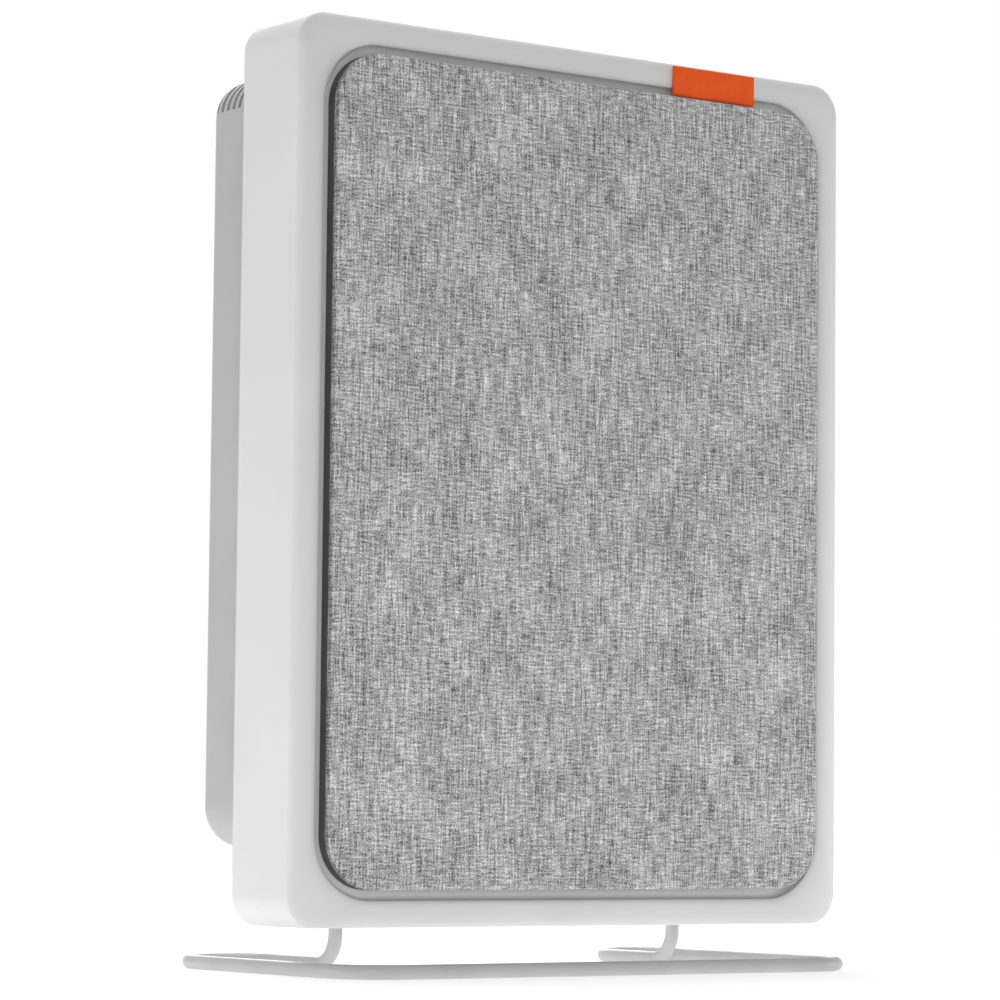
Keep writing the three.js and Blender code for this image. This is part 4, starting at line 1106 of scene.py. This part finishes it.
KEPT_FINISHES = {
    "chassis_plate": WHITE_ABS,
    "prefilter_frame": BLACK_ABS,
    "prefilter_net": NYLON_NET,
    "filter_frame": CARTRIDGE_PP,
    "filter_media": FILTER_PAPER,
    "filter_seal": PU_FOAM,
    "filter_ribbon": RIBBON,
    "scroll_housing": BLACK_ABS,
    "impeller": GLASS_NYLON,
    "rotor_cup": DRAWN_STEEL,
    "motor_shaft": NICKEL_PLATE,
    "shaft_nut": ZINC_PLATE,
    "motor_stator": COPPER_WINDING,
    "motor_base": DRAWN_STEEL,
    "bearing": NICKEL_PLATE,
    "control_board": SOLDER_MASK,
    "tact_switch": BLACK_ABS,
    "light_pipe": CLEAR_PC,
    "power_board": SOLDER_MASK,
    "particle_sensor": BLACK_ABS,
    "panel_magnet": NICKEL_PLATE,
    "strike_plate": ZINC_PLATE,
    "casing_screw": ZINC_PLATE,
}


def finish_nodes():
    """Gives each CAD node that stays its finish; numbered copies share one entry."""
    for name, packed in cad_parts.items():
        kind = name if name in KEPT_FINISHES else name.rsplit("_", 1)[0]
        if kind in KEPT_FINISHES:
            coat(packed, KEPT_FINISHES[kind])


# ---- Stage


def add_camera():
    """A camera turned by yaw about Z, then pitch about its own X, then roll about its line of sight."""
    yaw, pitch, roll = np.radians(CAMERA_TURN)
    turn = (
        Matrix.Rotation(yaw, 3, "Z") @ Matrix.Rotation(pitch, 3, "X") @ Matrix.Rotation(roll, 3, "Y")
    )
    right, forward, up = turn.col[0], turn.col[1], turn.col[2]
    pose = Matrix((right, up, -forward)).transposed().to_4x4()
    pose.translation = Vector(CAMERA_AT) * MM
    camera = add_object("camera", bpy.data.cameras.new("camera"))
    camera.data.lens = LENS
    camera.data.sensor_width = SENSOR
    camera.data.clip_end = FAR_CLIP
    camera.matrix_world = pose
    bpy.context.scene.camera = camera


def add_lamp(name, at, target, size, power):
    """A rectangular area lamp at a place in metres, turned to face a target."""
    lamp = bpy.data.lights.new(name, "AREA")
    lamp.shape = "RECTANGLE"
    lamp.size, lamp.size_y = size
    lamp.energy = power
    piece = add_object(name, lamp)
    piece.location = at
    piece.rotation_euler = (Vector(target) - Vector(at)).to_track_quat("-Z", "Y").to_euler()


def backdrop_ray(tree):
    """1 for rays that show the backdrop as it is: camera, glossy and transmission rays."""
    path = node(tree, "LightPath")
    passed = {0: path.outputs["Is Glossy Ray"], 1: path.outputs["Is Transmission Ray"]}
    mirrored = node(tree, "Math", passed, operation="MAXIMUM")
    seen = {0: path.outputs["Is Camera Ray"], 1: mirrored.outputs[0]}
    return node(tree, "Math", seen, operation="MAXIMUM").outputs[0]


def add_floor():
    """Pale floor that glows as 1 - r / GLOW_RADIUS round the object, and so lights its low parts.

    The camera and reflections see a white instead, darker by SHADOW_ROOM at the object, where the
    lamps make up for it except in the shadow.
    """
    signs = [(-1, -1), (1, -1), (1, 1), (-1, 1)]
    mesh = bpy.data.meshes.new("floor")
    mesh.from_pydata([(x * FLOOR_HALF, y * FLOOR_HALF, 0) for x, y in signs], [], [(0, 1, 2, 3)])
    floor = add_object("floor", mesh)
    material = bpy.data.materials.new("pale_floor")
    tree = empty_tree(material)
    at = node(tree, "TexCoord").outputs["Object"]
    shrunk = {0: at, 1: (1 / GLOW_RADIUS,) * 3}
    reach = node(tree, "VectorMath", shrunk, operation="MULTIPLY").outputs[0]
    near = node(tree, "TexGradient", {"Vector": reach}, gradient_type="SPHERICAL").outputs[1]
    lit = node(tree, "Math", {0: near, 1: FLOOR_LIGHT}, operation="MULTIPLY").outputs[0]
    seen = {0: near, 1: -SHADOW_ROOM, 2: FLOOR_WHITE}
    white = node(tree, "Math", seen, operation="MULTIPLY_ADD").outputs[0]
    layers = []
    for code, strength in ((FLOOR_LIT_COLOUR, lit), (FLOOR_SEEN_COLOUR, white)):
        matt = node(tree, "BsdfDiffuse", {"Color": linear(code)})
        glow = node(tree, "Emission", {"Color": WHITE, "Strength": strength})
        layers.append(node(tree, "AddShader", {0: matt.outputs[0], 1: glow.outputs[0]}).outputs[0])
    mixed = node(tree, "MixShader", {0: backdrop_ray(tree), 1: layers[0], 2: layers[1]})
    node(tree, "OutputMaterial", {"Surface": mixed.outputs[0]})
    mesh.materials.append(material)


def add_world():
    """Even sky light round the object, which shows as plain white behind it."""
    world = bpy.data.worlds.new("studio")
    tree = empty_tree(world)
    sky = node(tree, "Background", {"Color": WHITE, "Strength": SKY_LIGHT})
    white = node(tree, "Background", {"Color": WHITE, "Strength": 1.0})
    mixed = node(tree, "MixShader", {0: backdrop_ray(tree), 1: sky.outputs[0], 2: white.outputs[0]})
    node(tree, "OutputWorld", {"Surface": mixed.outputs[0]})
    bpy.context.scene.world = world


def set_stage():
    """Camera, floor, backdrop and lamps."""
    add_camera()
    add_floor()
    add_world()
    for name, settings in LAMPS.items():
        add_lamp(name, *settings)
    bpy.context.scene.view_settings.view_transform = "Standard"


def main():
    """Makes every piece, then the stage."""
    finish_nodes()
    front_casing()
    power_button()
    button_ring()
    rear_housing()
    for number, (x, z) in enumerate(REAR_SCREWS, 1):
        rear_screw(number, x, z)
    barrel_inlet()
    for number, x in enumerate((-WIRE_INNER_X, WIRE_INNER_X), 1):
        stand_sleeve(number, x)
    panel_tray()
    linen_cover()
    pull_strap()
    wire_stand()
    inlet_mouth()
    finger_guard()
    set_stage()


main()
